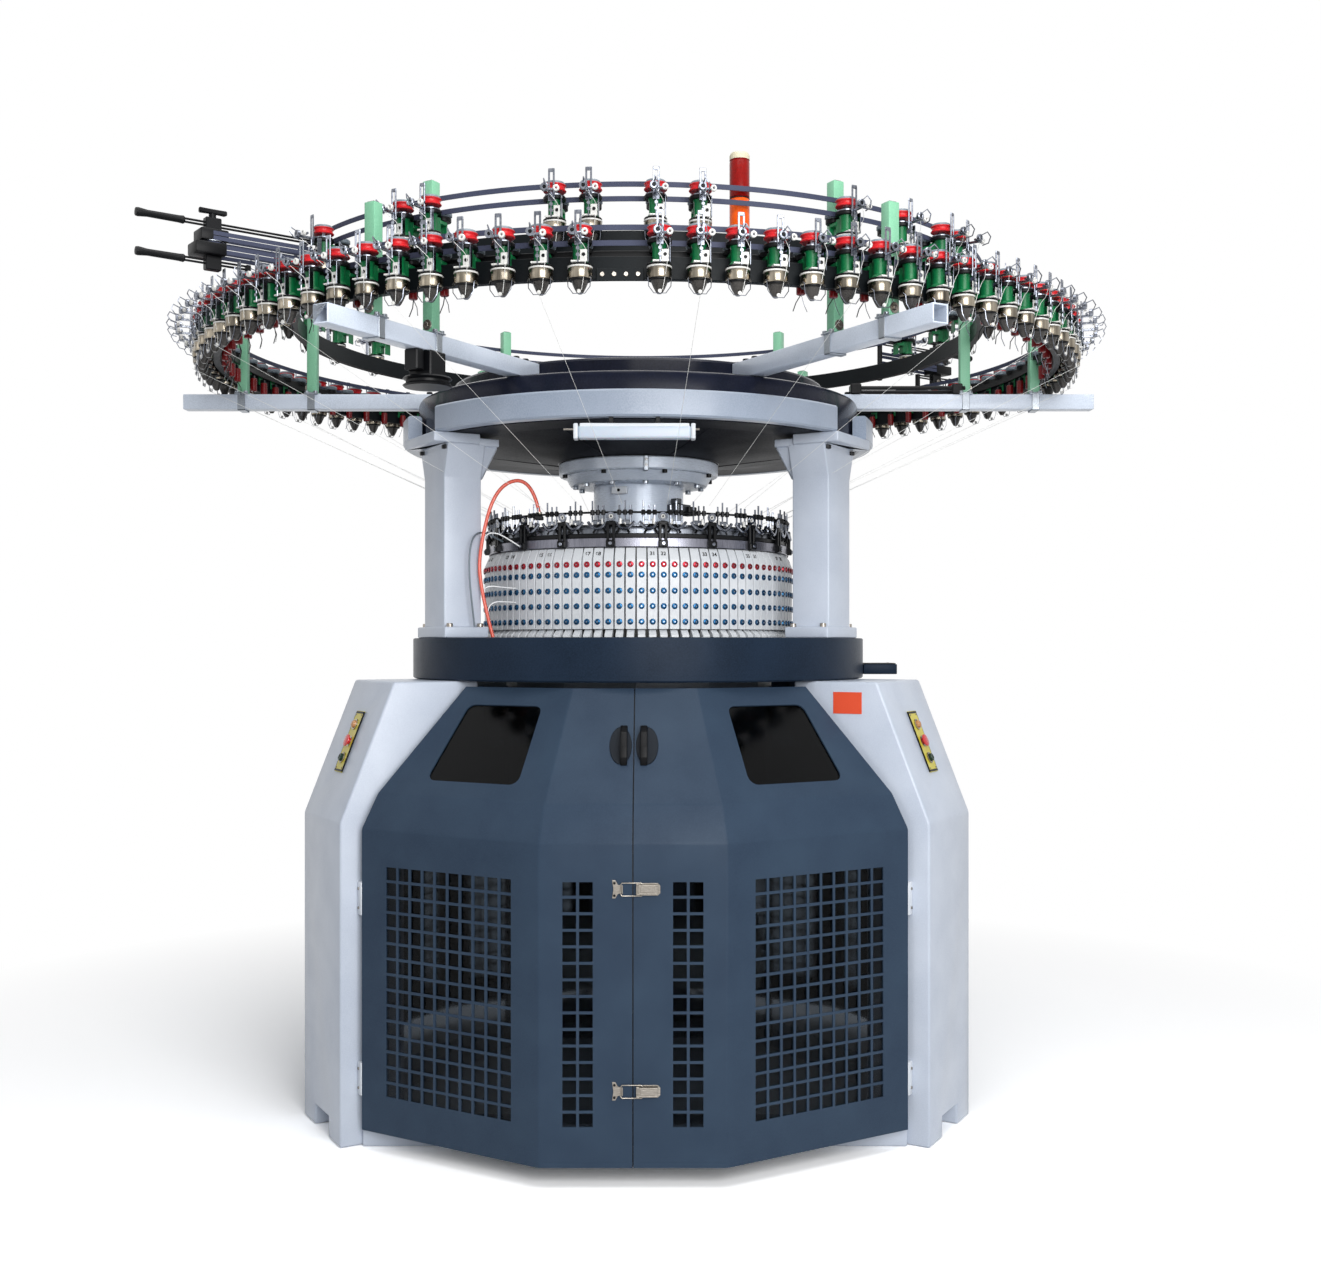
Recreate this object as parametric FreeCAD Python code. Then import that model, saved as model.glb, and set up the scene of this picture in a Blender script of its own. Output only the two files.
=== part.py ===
"""Large circular knitting machine on a three-legged base, in millimetres.

The Z axis is the axis of the needle cylinder, Z = 0 is the floor and -Y is the front.
Legs, columns and bays repeat three times round the axis, and the feeder arms six times.
Round pieces are many-sided prisms, so that a machine with a hundred feeders stays light.
"""
import FreeCAD
import Part
import math
import os

# ---- layout round the axis -------------------------------------------------------------------
leg_azimuths = {"front_left": -150.0, "front_right": -30.0, "rear": 90.0}
bay_azimuths = {"rear_left": 150.0, "rear_right": 30.0}
front_azimuth = -90.0
bay_half_angle = 60.0
drive_azimuth = 150.0
arm_count = 6
seat_gap = 0.3          # clearance of a piece that only rests on or beside another
clearance = 1.0         # clearance of a piece that turns or slides inside another

# ---- legs and floor frame --------------------------------------------------------------------
leg_reach = 976.5
leg_width = 324.0
leg_knee_height = 843.0
leg_lean = 146.5
leg_top_depth = 240.0
leg_foot_depth = 176.5
leg_inner_knee_height = 900.0
leg_shoulder_depth = 40.0
foot_notch_width = 120.0
foot_notch_height = 55.0
foot_notch_depth = 60.0
tie_beam_width = 80.0
tie_beam_height = 60.0
tie_beam_reach = 570.0

# ---- folded door and guard sheets ------------------------------------------------------------
guard_reach = 906.0
guard_half_width = 227.0
guard_turn = 30.0
guard_bottom = 50.0
guard_knee_height = 830.0
guard_band_inset = 38.0
guard_band_height = 90.0
guard_top_reach = 655.0
guard_top_gap = 14.0
guard_thickness = 4.0
guard_leg_gap = 28.0
door_seam_gap = 3.0
mesh_width = 393.0
mesh_height = 589.0
mesh_base_height = 148.0
mesh_bar = 14.0
door_mesh_columns = 4
door_mesh_rows = 5
guard_mesh_columns = 3
guard_mesh_rows = 3
strip_width = 73.0
strip_offset = 133.0
window_base = 60.0
window_height = 235.0
window_base_width = 284.0
window_top_width = 235.0
pane_border = 12.0
pane_thickness = 3.0

# ---- door fittings ---------------------------------------------------------------------------
hinge_heights = (180.0, 648.0)
hinge_height = 86.0
hinge_depth = 34.0
hinge_reach = 930.0
hinge_clearance = 0.6
handle_height = 120.0
handle_width = 18.0
handle_stand_off = 30.0
handle_grip = 9.0
handle_corner_share = 0.8
handle_crown_share = 0.35
handle_corner_lift_share = 0.7
handle_offset = 25.0
handle_base = 110.0
latch_heights = (235.0, 720.0)
latch_base_width = 30.0
latch_base_thickness = 3.0
latch_base_length = 58.0
latch_base_offset = 8.0
lever_length = 52.0
lever_width = 22.0
lever_thickness = 4.0
lever_lift = 8.5
lever_pivot_offset = 12.0
latch_ear_thickness = 2.0
latch_ear_length = 8.0
loop_wire = 3.0
loop_width = 34.0
loop_pivot_offset = 24.0
loop_left = -31.0
loop_clearance = 0.6
keeper_offset = 24.0
keeper_length = 26.0
keeper_height = 44.0
keeper_ridge_height = 4.0
keeper_ridge_width = 2.0
keeper_ridge_length = 20.0

# ---- bed, columns and crown ------------------------------------------------------------------
bed_radius = 672.0
bed_bottom = 1209.0
bed_thickness = 118.0
bed_bore_radius = 440.0
bed_lip_radius = 405.0
bed_lip_thickness = 5.7
round_sides = 36
junction_box_reach = 100.0
junction_box_width = 120.0
junction_box_height = 33.0
junction_box_lift = 11.0
column_reach = 600.0
column_width = 150.0
column_depth = 110.0
column_flange_width = 210.0
column_flange_depth = 130.0
column_flange_thickness = 30.0
column_haunch_height = 90.0
column_haunch_width = 215.0
column_pad_width = 230.0
column_pad_inner_reach = 564.0
column_pad_outer_reach = 700.0
column_pad_thickness = 28.0
column_height = 563.0
beam_drum_gap = 6.0
beam_depth = 40.0
beam_height = 70.0
beam_end_angle = 6.0
beam_segments = 8
drum_radius = 655.0
drum_wall_height = 127.0
drum_foot_radius = 560.0
drum_rim_radius = 555.0
drum_rim_height = 53.0
hub_radius = 240.0
hub_drop = 40.0
hub_thickness = 37.0
hub_chamfer_radius = 205.0
hub_chamfer_drop = 30.0
neck_radius = 135.0
neck_bore_radius = 40.0
hub_sides = 18
work_lamp_length = 312.0
work_lamp_height = 40.0
work_lamp_depth = 40.0
work_lamp_drop = 18.0
work_lamp_clip_spacing = 200.0
work_lamp_clip_width = 12.0
work_lamp_clip_depth = 12.0

# ---- knitting head ---------------------------------------------------------------------------
cam_box_count = 48
cam_box_outer_radius = 466.0
cam_box_inner_radius = 412.0
cam_box_height = 248.0
cam_box_gap = 2.0
cylinder_radius = 406.0
cylinder_wall = 26.0
cylinder_height = 235.0
gear_radius = 436.0
gear_height = 105.0
head_sides = 24
dial_radius = 398.0
dial_gap = 5.0
dial_thickness = 30.0
dial_shaft_radius = 30.0
dial_cap_radius = 400.0
dial_cap_gap = 20.0
dial_cap_thickness = 28.0
top_ring_outer_radius = 455.0
top_ring_inner_radius = 418.0
top_ring_height = 36.0
guide_ring_radius = 450.0
guide_ring_width = 10.0
guide_ring_thickness = 8.0
guide_ring_lift = 49.0
guide_post_count = 8
guide_post_width = 14.0
guide_post_depth = 10.0

# ---- take-down inside the base ---------------------------------------------------------------
takedown_ring_outer_radius = 402.0
takedown_ring_inner_radius = 372.0
takedown_ring_height = 40.0
takedown_reach = 400.0
takedown_plate_width = 90.0
takedown_plate_thickness = 12.0
takedown_foot = 180.0
takedown_sides = 12
cross_bar_height = 50.0
draw_roller_radius = 30.0
draw_roller_height = 640.0
draw_roller_nip = 2.0
cloth_roll_radius = 110.0
cloth_roll_height = 380.0
roller_sides = 10
pinion_radius = 60.0
pinion_height = 60.0
pocket_radius = 68.0
pocket_sides = 8
pinion_shaft_radius = 16.0
motor_radius = 66.0
motor_height = 190.0
motor_gap = 12.0
motor_ear_depth = 30.0
motor_ear_overlap = 10.0
motor_ear_height = 20.0

# ---- yarn ring -------------------------------------------------------------------------------
arm_size = 45.0
arm_wall = 4.0
arm_end_reach = 1371.0
post_size = 30.0
outer_post_reach = 1195.0
outer_post_top = 2329.0
tier_step = 210.0
inner_post_top = 2435.0
ring_bar_depth = 20.0
ring_bar_height = 50.0
feeder_height = 150.0
feeder_cup_width = 22.0
feeder_cup_reach = 39.0
feeder_wheel_width = 56.0
feeder_wheel_lift = 50.0
feeder_arm_width = 26.0
feeder_arm_reach = 125.0
outer_tier_base = 2064.0
inner_tier_base = 2225.0
outer_ring_bottom = 2104.0
inner_ring_bottom = 2220.0
outer_sides = 46
outer_splice_azimuth = -91.0
inner_sides = 36
inner_side_phase = 1.4
inner_feeder_azimuths = (
    -139.3, -122.0, -117.4, -99.8, -95.2, -87.0, -81.3, -60.8, -51.1, -41.9, -37.5,
    -178.0, -167.5, -158.0, 171.5, 160.5, 149.0, 30.5, 19.0, 9.5, -2.0, -12.5,
)
belt_height = 12.0
belt_thickness = 2.5
belt_lift = 113.0

# ---- belt tensioners -------------------------------------------------------------------------
tensioner_azimuths = {"left": -143.0, "right": 37.0}
tensioner_rail_size = 14.0
tensioner_upright_depth = 12.0
tensioner_handle_size = 22.0
tensioner_handle_length = 120.0
tensioner_travel = 40.0
tensioner_heights = (2256.0, 2350.0)
tensioner_block_reach = 1280.0
tensioner_block_length = 60.0
tensioner_block_width = 64.0
tensioner_block_border = 20.0

# ---- signal lamp, hose and controls ----------------------------------------------------------
signal_lamp_azimuth = -74.9
signal_lamp_radius = 24.0
signal_lamp_bottom = 2262.0
signal_lamp_sections = (104.0, 92.0, 18.0)
signal_lamp_sides = 8
hose_diameter = 10.0
hose_sides = 3
hose_bend_share = 0.45
hose_end_gap = 1.4
hose_points = (
    (-400.0, -350.0, 1328.4), (-437.0, -354.0, 1468.0), (-437.0, -354.0, 1580.0),
    (-392.0, -350.0, 1752.0), (-293.0, -346.0, 1775.0), (-272.0, -347.0, 1677.0),
)
hose_fitting_radius = 9.0
button_plate_width = 60.0
button_plate_length = 175.0
button_plate_thickness = 4.0
button_plate_slope_height = 217.0
button_pitch = 48.0
button_radius = 11.0
mushroom_radius = 17.0
button_height = 12.0
button_stem = 14.0
button_pocket_width = 40.0
button_pocket_depth = 26.0

# ---- values that follow from the ones above --------------------------------------------------
leg_top_reach = leg_reach - leg_lean
leg_top_inner_reach = leg_top_reach - leg_top_depth
leg_foot_inner_reach = leg_reach - leg_foot_depth
cut_depth = 8 * guard_thickness
bed_top = bed_bottom + bed_thickness
guard_top = bed_bottom - guard_top_gap
column_top = bed_top + column_height
beam_inner_radius = drum_radius + beam_drum_gap
beam_outer_radius = beam_inner_radius + beam_depth
drum_bottom = column_top
drum_top = drum_bottom + drum_wall_height
drum_face_bottom = drum_bottom - hub_drop
hub_bottom = drum_face_bottom - hub_thickness
cam_box_top = bed_top + cam_box_height
gear_bottom = bed_bottom + bed_lip_thickness + seat_gap
cylinder_foot = gear_bottom + gear_height
cylinder_top = cylinder_foot + cylinder_height
dial_bottom = cylinder_top + dial_gap
dial_cap_bottom = dial_bottom + dial_thickness + dial_cap_gap
dial_cap_top = dial_cap_bottom + dial_cap_thickness
top_ring_top = cam_box_top + top_ring_height
guide_ring_bottom = top_ring_top + guide_ring_lift
arm_bottom = drum_top
arm_top = arm_bottom + arm_size
inner_post_reach = outer_post_reach - tier_step
tensioner_handle_start = tensioner_block_reach + tensioner_block_length + tensioner_travel
outer_ring_inner = outer_post_reach + post_size / 2 + seat_gap
inner_ring_inner = inner_post_reach + post_size / 2 + seat_gap


def point(x, y, z=0.0):
    return FreeCAD.Vector(x, y, z)


def turned_to(shape, azimuth):
    """A copy of a shape drawn along +X, turned about Z to an azimuth."""
    copy = shape.copy()
    copy.rotate(point(0, 0), point(0, 0, 1), azimuth)
    return copy


def wire_through(points):
    return Part.makePolygon(list(points) + [points[0]])


def extruded(points, direction, holes=()):
    """A closed outline, less its holes, pushed along a vector."""
    wires = [wire_through(points)] + [wire_through(hole) for hole in holes]
    return Part.makeFace(wires, "Part::FaceMakerBullseye").extrude(direction)


def slab(outline, bottom, top, holes=()):
    """An outline in plan, given as (x, y) pairs, from one height to another."""
    rings = [[point(x, y, bottom) for x, y in ring] for ring in (outline, *holes)]
    return extruded(rings[0], point(0, 0, top - bottom), rings[1:])


def side_profile(outline, width):
    """An outline of (reach, height) pairs in the XZ plane, with a width centred on Y = 0."""
    return extruded([point(reach, -width / 2, height) for reach, height in outline], point(0, width, 0))


def block(reach_in, reach_out, width, bottom, top):
    return Part.makeBox(reach_out - reach_in, width, top - bottom, point(reach_in, -width / 2, bottom))


def regular(sides, corner_radius, phase=0.0, centre=(0.0, 0.0)):
    angles = [math.radians(phase + 360.0 * step / sides) for step in range(sides)]
    return [(centre[0] + corner_radius * math.cos(a), centre[1] + corner_radius * math.sin(a)) for a in angles]


def flat_sided(sides, flat_radius, phase=0.0):
    """Corners of a regular outline whose flats lie at flat_radius, the first flat facing phase."""
    half_step = 180.0 / sides
    return regular(sides, flat_radius / math.cos(math.radians(half_step)), phase + half_step)


def round_slab(sides, radius, bottom, top, centre=(0.0, 0.0), bore=0.0):
    holes = [regular(sides, bore, centre=centre)] if bore else []
    return slab(regular(sides, radius, centre=centre), bottom, top, holes)


def solid_of(faces):
    shell = Part.Shell(faces)
    shell.sewShape()
    solid = Part.Solid(shell)
    if solid.Volume < 0:
        solid.reverse()
    return solid


def stacked(rings):
    """A solid through horizontal rings that all have as many corners: [(height, [(x, y), ...]), ...]."""
    corners = [[point(x, y, height) for x, y in ring] for height, ring in rings]
    count = len(corners[0])
    faces = [Part.Face(wire_through(corners[0])), Part.Face(wire_through(corners[-1]))]
    for low, high in zip(corners, corners[1:]):
        for step in range(count):
            following = (step + 1) % count
            quad = [low[step], low[following], high[following], high[step]]
            faces.append(Part.Face(wire_through(quad)))
    return solid_of(faces)


def joined(*shapes):
    result = shapes[0].fuse(list(shapes[1:]))
    return result.removeSplitter()


def frame_at(origin, across, up):
    """A placement whose X runs across a face, Y up it and Z out of it."""
    out = across.cross(up)
    matrix = FreeCAD.Matrix(
        across.x, up.x, out.x, origin.x,
        across.y, up.y, out.y, origin.y,
        across.z, up.z, out.z, origin.z,
        0, 0, 0, 1,
    )
    return FreeCAD.Placement(matrix)


def put(shape, placement):
    copy = shape.copy()
    copy.Placement = placement.multiply(copy.Placement)
    return copy


def export(name, *shapes):
    shape = shapes[0] if len(shapes) == 1 else Part.makeCompound(list(shapes))
    shape.exportStep(f"parts/{name}.step")


# ---- base ------------------------------------------------------------------------------------
def leg_face_frame(slope_height=0.0):
    """On the sloping outer face of a leg that points along +X."""
    base = point(leg_reach, 0, leg_knee_height)
    up = point(leg_top_reach - leg_reach, 0, bed_bottom - leg_knee_height).normalize()
    return frame_at(base + up * slope_height, point(0, 1, 0), up)


def make_leg(has_buttons):
    body = side_profile(
        [
            (leg_reach, 0), (leg_reach, leg_knee_height), (leg_top_reach, bed_bottom),
            (leg_top_inner_reach, bed_bottom), (leg_top_inner_reach, bed_bottom - leg_shoulder_depth),
            (leg_foot_inner_reach, leg_inner_knee_height), (leg_foot_inner_reach, 0),
        ],
        leg_width,
    )
    body = body.cut(block(leg_reach - foot_notch_depth, leg_reach + 1, foot_notch_width, -1, foot_notch_height))
    if has_buttons:
        length = 2 * button_pitch + button_pocket_width
        pocket = Part.makeBox(button_pocket_width, length, 2 * button_pocket_depth)
        pocket.translate(point(-button_pocket_width / 2, -length / 2, -button_pocket_depth))
        body = body.cut(put(pocket, leg_face_frame(button_plate_slope_height)))
    return body


def make_tie_beams():
    half_turn = math.radians(60.0)
    inner_leg_edge = leg_foot_inner_reach * math.sin(half_turn) - leg_width / 2 * math.cos(half_turn)
    lean = (tie_beam_reach - leg_foot_inner_reach * math.cos(half_turn)) / math.tan(half_turn)
    half_length = inner_leg_edge + lean
    beam = slab(
        [
            (tie_beam_reach - tie_beam_width / 2, -half_length), (tie_beam_reach + tie_beam_width / 2, -half_length),
            (tie_beam_reach + tie_beam_width / 2, half_length), (tie_beam_reach - tie_beam_width / 2, half_length),
        ],
        0, tie_beam_height,
    )
    legs = [
        turned_to(block(0, leg_reach, leg_width + 2 * seat_gap, -1, tie_beam_height + 1), azimuth)
        for azimuth in leg_azimuths.values()
    ]
    beams = [turned_to(beam, azimuth).cut(legs) for azimuth in (front_azimuth, *bay_azimuths.values())]
    return beams


# ---- doors and guards: drawn for the bay that faces +X, so Y runs across it --------------------
def half_width_at(reach):
    return guard_half_width - (guard_reach - reach) * math.tan(math.radians(guard_turn / 2))


def guard_levels():
    """(reach, height) of the folded sheet's outer face, from the bottom up."""
    return [
        (guard_reach, guard_bottom),
        (guard_reach, guard_knee_height),
        (guard_reach - guard_band_inset, guard_knee_height + guard_band_height),
        (guard_top_reach, guard_top),
    ]


def side_length_at(reach):
    """Length of the side facet at one level: it stops beside the leg, parallel to the leg's side."""
    turn = math.radians(guard_turn)
    edge = leg_width / 2 + guard_leg_gap
    corner = point(reach, half_width_at(reach))
    leg_side = point(-math.sin(2 * turn), math.cos(2 * turn))
    along = point(-math.sin(turn), math.cos(turn))
    return (-edge - corner.dot(leg_side)) / along.dot(leg_side)


def outline_at(reach, start):
    """Plan points of one level: the seam or middle, the fold, and the end beside the leg."""
    turn = math.radians(guard_turn)
    corner = (reach, half_width_at(reach))
    length = side_length_at(reach)
    end = (corner[0] - length * math.sin(turn), corner[1] + length * math.cos(turn))
    return [(reach, start), corner, end]


def folded_sheet(start, whole):
    """The sheet from start to one leg, or across the whole bay, with its true folds."""
    outer = []
    inner = []
    for reach, height in guard_levels():
        for rows, level in ((outer, reach), (inner, reach - guard_thickness)):
            half = outline_at(level, start)
            if whole:
                half = [(x, -y) for x, y in reversed(half[1:])] + half[1:]
            rows.append([point(x, y, height) for x, y in half])
    faces = []
    columns = range(len(outer[0]) - 1)
    for rows in (outer, inner):
        for low, high in zip(rows, rows[1:]):
            for column in columns:
                quad = [low[column], low[column + 1], high[column + 1], high[column]]
                faces.append(Part.Face(wire_through(quad)))
    for level in (0, -1):
        faces.append(Part.Face(wire_through(outer[level] + inner[level][::-1])))
    for end in (0, -1):
        edge = [row[end] for row in outer] + [row[end] for row in reversed(inner)]
        faces.append(Part.Face(wire_through(edge)))
    return solid_of(faces)


def side_facet_frame(low, high):
    """On the side facet between two guard levels, centred at its lower edge."""
    (low_reach, low_height), (high_reach, high_height) = guard_levels()[low], guard_levels()[high]
    turn = math.radians(guard_turn)
    across = point(-math.sin(turn), math.cos(turn))
    out = point(math.cos(turn), math.sin(turn))

    def facet_reach(reach):
        return point(reach, half_width_at(reach)).dot(out)

    up = (out * (facet_reach(high_reach) - facet_reach(low_reach)) + point(0, 0, high_height - low_height)).normalize()
    corner = point(low_reach, half_width_at(low_reach), low_height)
    return corner, across, up


def mesh_holes(columns, rows, width, frame, foot):
    """Square holes of one panel of mesh, as boxes across the sheet."""
    bars = mesh_bar
    hole_width = (width - (columns - 1) * bars) / columns
    hole_height = (mesh_height - (rows - 1) * bars) / rows
    holes = []
    for column in range(columns):
        for row in range(rows):
            hole = Part.makeBox(hole_width, hole_height, cut_depth)
            x = -width / 2 + column * (hole_width + bars)
            hole.translate(point(x, foot + row * (hole_height + bars), -cut_depth / 2))
            holes.append(put(hole, frame))
    return holes


def window_outline(border):
    """The window's four corners in its facet, larger by a border."""
    base = window_base_width / 2 + border
    top = window_top_width / 2 + border
    low = window_base - border
    high = window_base + window_height + border
    return [(-base, low), (base, low), (top, high), (-top, high)]


def window_frame():
    corner, across, up = side_facet_frame(2, 3)
    low_reach = guard_levels()[2][0]
    top_reach = guard_levels()[3][0]
    low_middle = side_length_at(low_reach) / 2
    lean = math.tan(math.radians(guard_turn / 2)) * (low_reach - top_reach)
    top_middle = lean + side_length_at(top_reach) / 2
    return frame_at(corner + across * ((low_middle + top_middle) / 2), across, up)


def mesh_foot():
    return mesh_base_height - guard_bottom


def side_openings(columns, rows):
    """The mesh and the window of one side facet."""
    corner, across, up = side_facet_frame(0, 1)
    middle = frame_at(corner + across * (side_length_at(guard_reach) / 2), across, up)
    window = extruded([point(x, y, -cut_depth / 2) for x, y in window_outline(0)], point(0, 0, cut_depth))
    return mesh_holes(columns, rows, mesh_width, middle, mesh_foot()) + [put(window, window_frame())]


def strip_openings(rows):
    frame = frame_at(point(guard_reach, strip_offset, guard_bottom), point(0, 1, 0), point(0, 0, 1))
    return mesh_holes(1, rows, strip_width, frame, mesh_foot())


def mirrored(shape):
    return shape.mirror(point(0, 0), point(0, 1, 0))


def make_window_pane():
    """The pane behind its opening; the sloping sheet is thinner square to its face than level."""
    frame = window_frame()
    sheet = guard_thickness * frame.Rotation.multVec(point(0, 1, 0)).z
    pane = extruded(
        [point(x, y, -sheet - seat_gap) for x, y in window_outline(pane_border)],
        point(0, 0, -pane_thickness),
    )
    return put(pane, frame)


def make_door():
    """The leaf on the +Y side of its bay."""
    sheet = folded_sheet(door_seam_gap / 2, False)
    openings = side_openings(door_mesh_columns, door_mesh_rows) + strip_openings(door_mesh_rows)
    return sheet.cut(openings)


def make_guard():
    openings = side_openings(guard_mesh_columns, guard_mesh_rows)
    strips = strip_openings(guard_mesh_rows)
    both = openings + strips
    return folded_sheet(0, True).cut(both + [mirrored(opening) for opening in both])


def door_hinge_blocks():
    """Blocks on a leg's side that stop just short of the door's edge."""
    return [leg_side_block(height - hinge_height / 2, hinge_height, 0.0, hinge_clearance) for height in hinge_heights]


def leg_side_block(bottom, height, leg_gap, sheet_gap):
    """A block that fills the space between the side of a leg and the end of a sheet."""
    width = guard_leg_gap - leg_gap - sheet_gap
    corner = point(hinge_reach - hinge_depth, -leg_width / 2 - leg_gap - width, bottom)
    return Part.makeBox(hinge_depth, width, height, corner)


def make_guard_strips():
    """The two upright strips that hold a rear guard to the legs beside it, drawn for the bay that faces +X."""
    low, high = hinge_heights
    strip = leg_side_block(low - hinge_height / 2, high - low + hinge_height, seat_gap, 0.0)
    return turned_to(strip, 60.0), turned_to(mirrored(strip), -60.0)


def centre_frame(low, high, offset, slope_height):
    """On the middle facet of the bay that faces +X."""
    (low_reach, low_height), (high_reach, high_height) = guard_levels()[low], guard_levels()[high]
    up = point(high_reach - low_reach, 0, high_height - low_height).normalize()
    origin = point(low_reach, offset, low_height) + up * slope_height
    return frame_at(origin, point(0, 1, 0), up)


def make_handle():
    """A crescent pull that stands off the sloping sheet on its two ends."""
    half = handle_height / 2
    inner_half = half - handle_grip
    corner = half * handle_corner_share
    corner_lift = handle_stand_off * handle_corner_lift_share
    crown = half * handle_crown_share
    hollow = inner_half * handle_corner_lift_share
    outline = [
        (-half, seat_gap), (-corner, corner_lift), (-crown, handle_stand_off),
        (crown, handle_stand_off), (corner, corner_lift), (half, seat_gap),
        (inner_half, seat_gap), (hollow, handle_stand_off - handle_grip),
        (-hollow, handle_stand_off - handle_grip), (-inner_half, seat_gap),
    ]
    bow = extruded([point(-handle_width / 2, along, lift) for along, lift in outline], point(handle_width, 0, 0))
    return put(bow, centre_frame(2, 3, handle_offset, handle_base + half))


def latch_frame(height):
    return frame_at(point(guard_reach + seat_gap, 0, height), point(0, 1, 0), point(0, 0, 1))


def latch_box(offset, length, width, low, high, height):
    box = Part.makeBox(length, width, high - low, point(offset, -width / 2, low))
    return put(box, latch_frame(height))


def make_latch_base(height):
    """The plate on the right-hand leaf, with two ears that hold the lever between them."""
    plate = latch_box(latch_base_offset, latch_base_length, latch_base_width, 0, latch_base_thickness, height)
    top = lever_lift + lever_thickness
    start = lever_pivot_offset - latch_ear_length / 2
    outer_width = lever_width + 2 * (seat_gap + latch_ear_thickness)
    ears = latch_box(start, latch_ear_length, outer_width, latch_base_thickness, top, height)
    slot_width = lever_width + 2 * seat_gap
    slot = latch_box(start - 1, latch_ear_length + 2, slot_width, latch_base_thickness, top + 1, height)
    return plate.fuse(ears.cut(slot))


def make_latch_lever(height):
    start = lever_pivot_offset - lever_thickness
    return latch_box(start, lever_length, lever_width, lever_lift, lever_lift + lever_thickness, height)


def make_latch_loop(height):
    """A wire frame that lies round the lever and reaches over the seam to the keeper."""
    right = loop_pivot_offset + loop_wire / 2
    left = loop_left
    low = latch_base_thickness + loop_clearance
    frame = slab(
        [(left, -loop_width / 2), (right, -loop_width / 2), (right, loop_width / 2), (left, loop_width / 2)],
        low, low + loop_wire,
        [[
            (left + loop_wire, -loop_width / 2 + loop_wire), (right - loop_wire, -loop_width / 2 + loop_wire),
            (right - loop_wire, loop_width / 2 - loop_wire), (left + loop_wire, loop_width / 2 - loop_wire),
        ]],
    )
    return put(frame, latch_frame(height))


def make_latch_keeper(height):
    left = -keeper_offset - keeper_length
    plate = latch_box(left, keeper_length, keeper_height, 0, latch_base_thickness, height)
    ridge = latch_box(
        -keeper_offset - keeper_ridge_width, keeper_ridge_width, keeper_ridge_length,
        latch_base_thickness, latch_base_thickness + keeper_ridge_height, height,
    )
    return plate.fuse(ridge)


# ---- bed, columns and crown ------------------------------------------------------------------
def pinion_reach():
    return gear_radius + pinion_radius + clearance


def make_bed():
    plate = round_slab(round_sides, bed_radius, bed_bottom, bed_top, bore=bed_lip_radius)
    plate = plate.cut(round_slab(round_sides, bed_bore_radius, bed_bottom + bed_lip_thickness, bed_top + 1))
    drive = math.radians(drive_azimuth)
    pocket_centre = (pinion_reach() * math.cos(drive), pinion_reach() * math.sin(drive))
    pocket_top = bed_bottom + bed_lip_thickness + pinion_height + 2 * clearance
    pocket = round_slab(pocket_sides, pocket_radius, bed_bottom - 1, pocket_top, pocket_centre)
    return plate.cut(pocket)


def make_junction_box():
    low = bed_bottom + junction_box_lift
    start = bed_radius + seat_gap
    return block(start, start + junction_box_reach, junction_box_width, low, low + junction_box_height)


def make_column():
    foot_top = bed_top + column_flange_thickness
    pad_bottom = column_top - column_pad_thickness
    half = column_width / 2
    depth_in = column_reach - column_depth / 2
    flange = block(
        column_reach - column_flange_depth / 2, column_reach + column_flange_depth / 2,
        column_flange_width, bed_top, foot_top,
    )
    front = [
        (-half, foot_top), (half, foot_top), (half, pad_bottom - column_haunch_height),
        (column_haunch_width / 2, pad_bottom), (-column_haunch_width / 2, pad_bottom),
        (-half, pad_bottom - column_haunch_height),
    ]
    shaft = extruded([point(depth_in, y, z) for y, z in front], point(column_depth, 0, 0))
    pad = block(
        column_pad_inner_reach, column_pad_outer_reach, column_pad_width, pad_bottom, column_top - seat_gap,
    )
    return joined(flange, shaft, pad)


def make_beam():
    """The arc between two columns, centred on +X."""
    half_angle = bay_half_angle - beam_end_angle
    angles = [
        math.radians(-half_angle + 2 * half_angle * step / beam_segments) for step in range(beam_segments + 1)
    ]
    outer = [(beam_outer_radius * math.cos(a), beam_outer_radius * math.sin(a)) for a in angles]
    inner = [(beam_inner_radius * math.cos(a), beam_inner_radius * math.sin(a)) for a in reversed(angles)]
    return slab(outer + inner, column_top, column_top + beam_height)


def make_drum():
    body = stacked([
        (drum_face_bottom, regular(round_sides, hub_radius)),
        (drum_bottom, regular(round_sides, drum_foot_radius)),
    ])
    wall = round_slab(round_sides, drum_radius, drum_bottom, drum_top)
    rim = round_slab(round_sides, drum_rim_radius, drum_top, drum_top + drum_rim_height)
    return joined(body, wall, rim)


def make_dial_support():
    """The flange under the drum with the neck that the dial hangs from."""
    flange_top = drum_face_bottom - seat_gap
    flange = round_slab(hub_sides, hub_radius, hub_bottom, flange_top)
    chamfer = stacked([
        (hub_bottom - hub_chamfer_drop, regular(hub_sides, hub_chamfer_radius)),
        (hub_bottom, regular(hub_sides, hub_chamfer_radius + hub_chamfer_drop / 2)),
    ])
    neck = round_slab(hub_sides, neck_radius, dial_cap_top, hub_bottom - hub_chamfer_drop)
    bore = round_slab(roller_sides, neck_bore_radius, dial_cap_top - 1, hub_bottom)
    return joined(flange, chamfer, neck).cut(bore)


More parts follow.
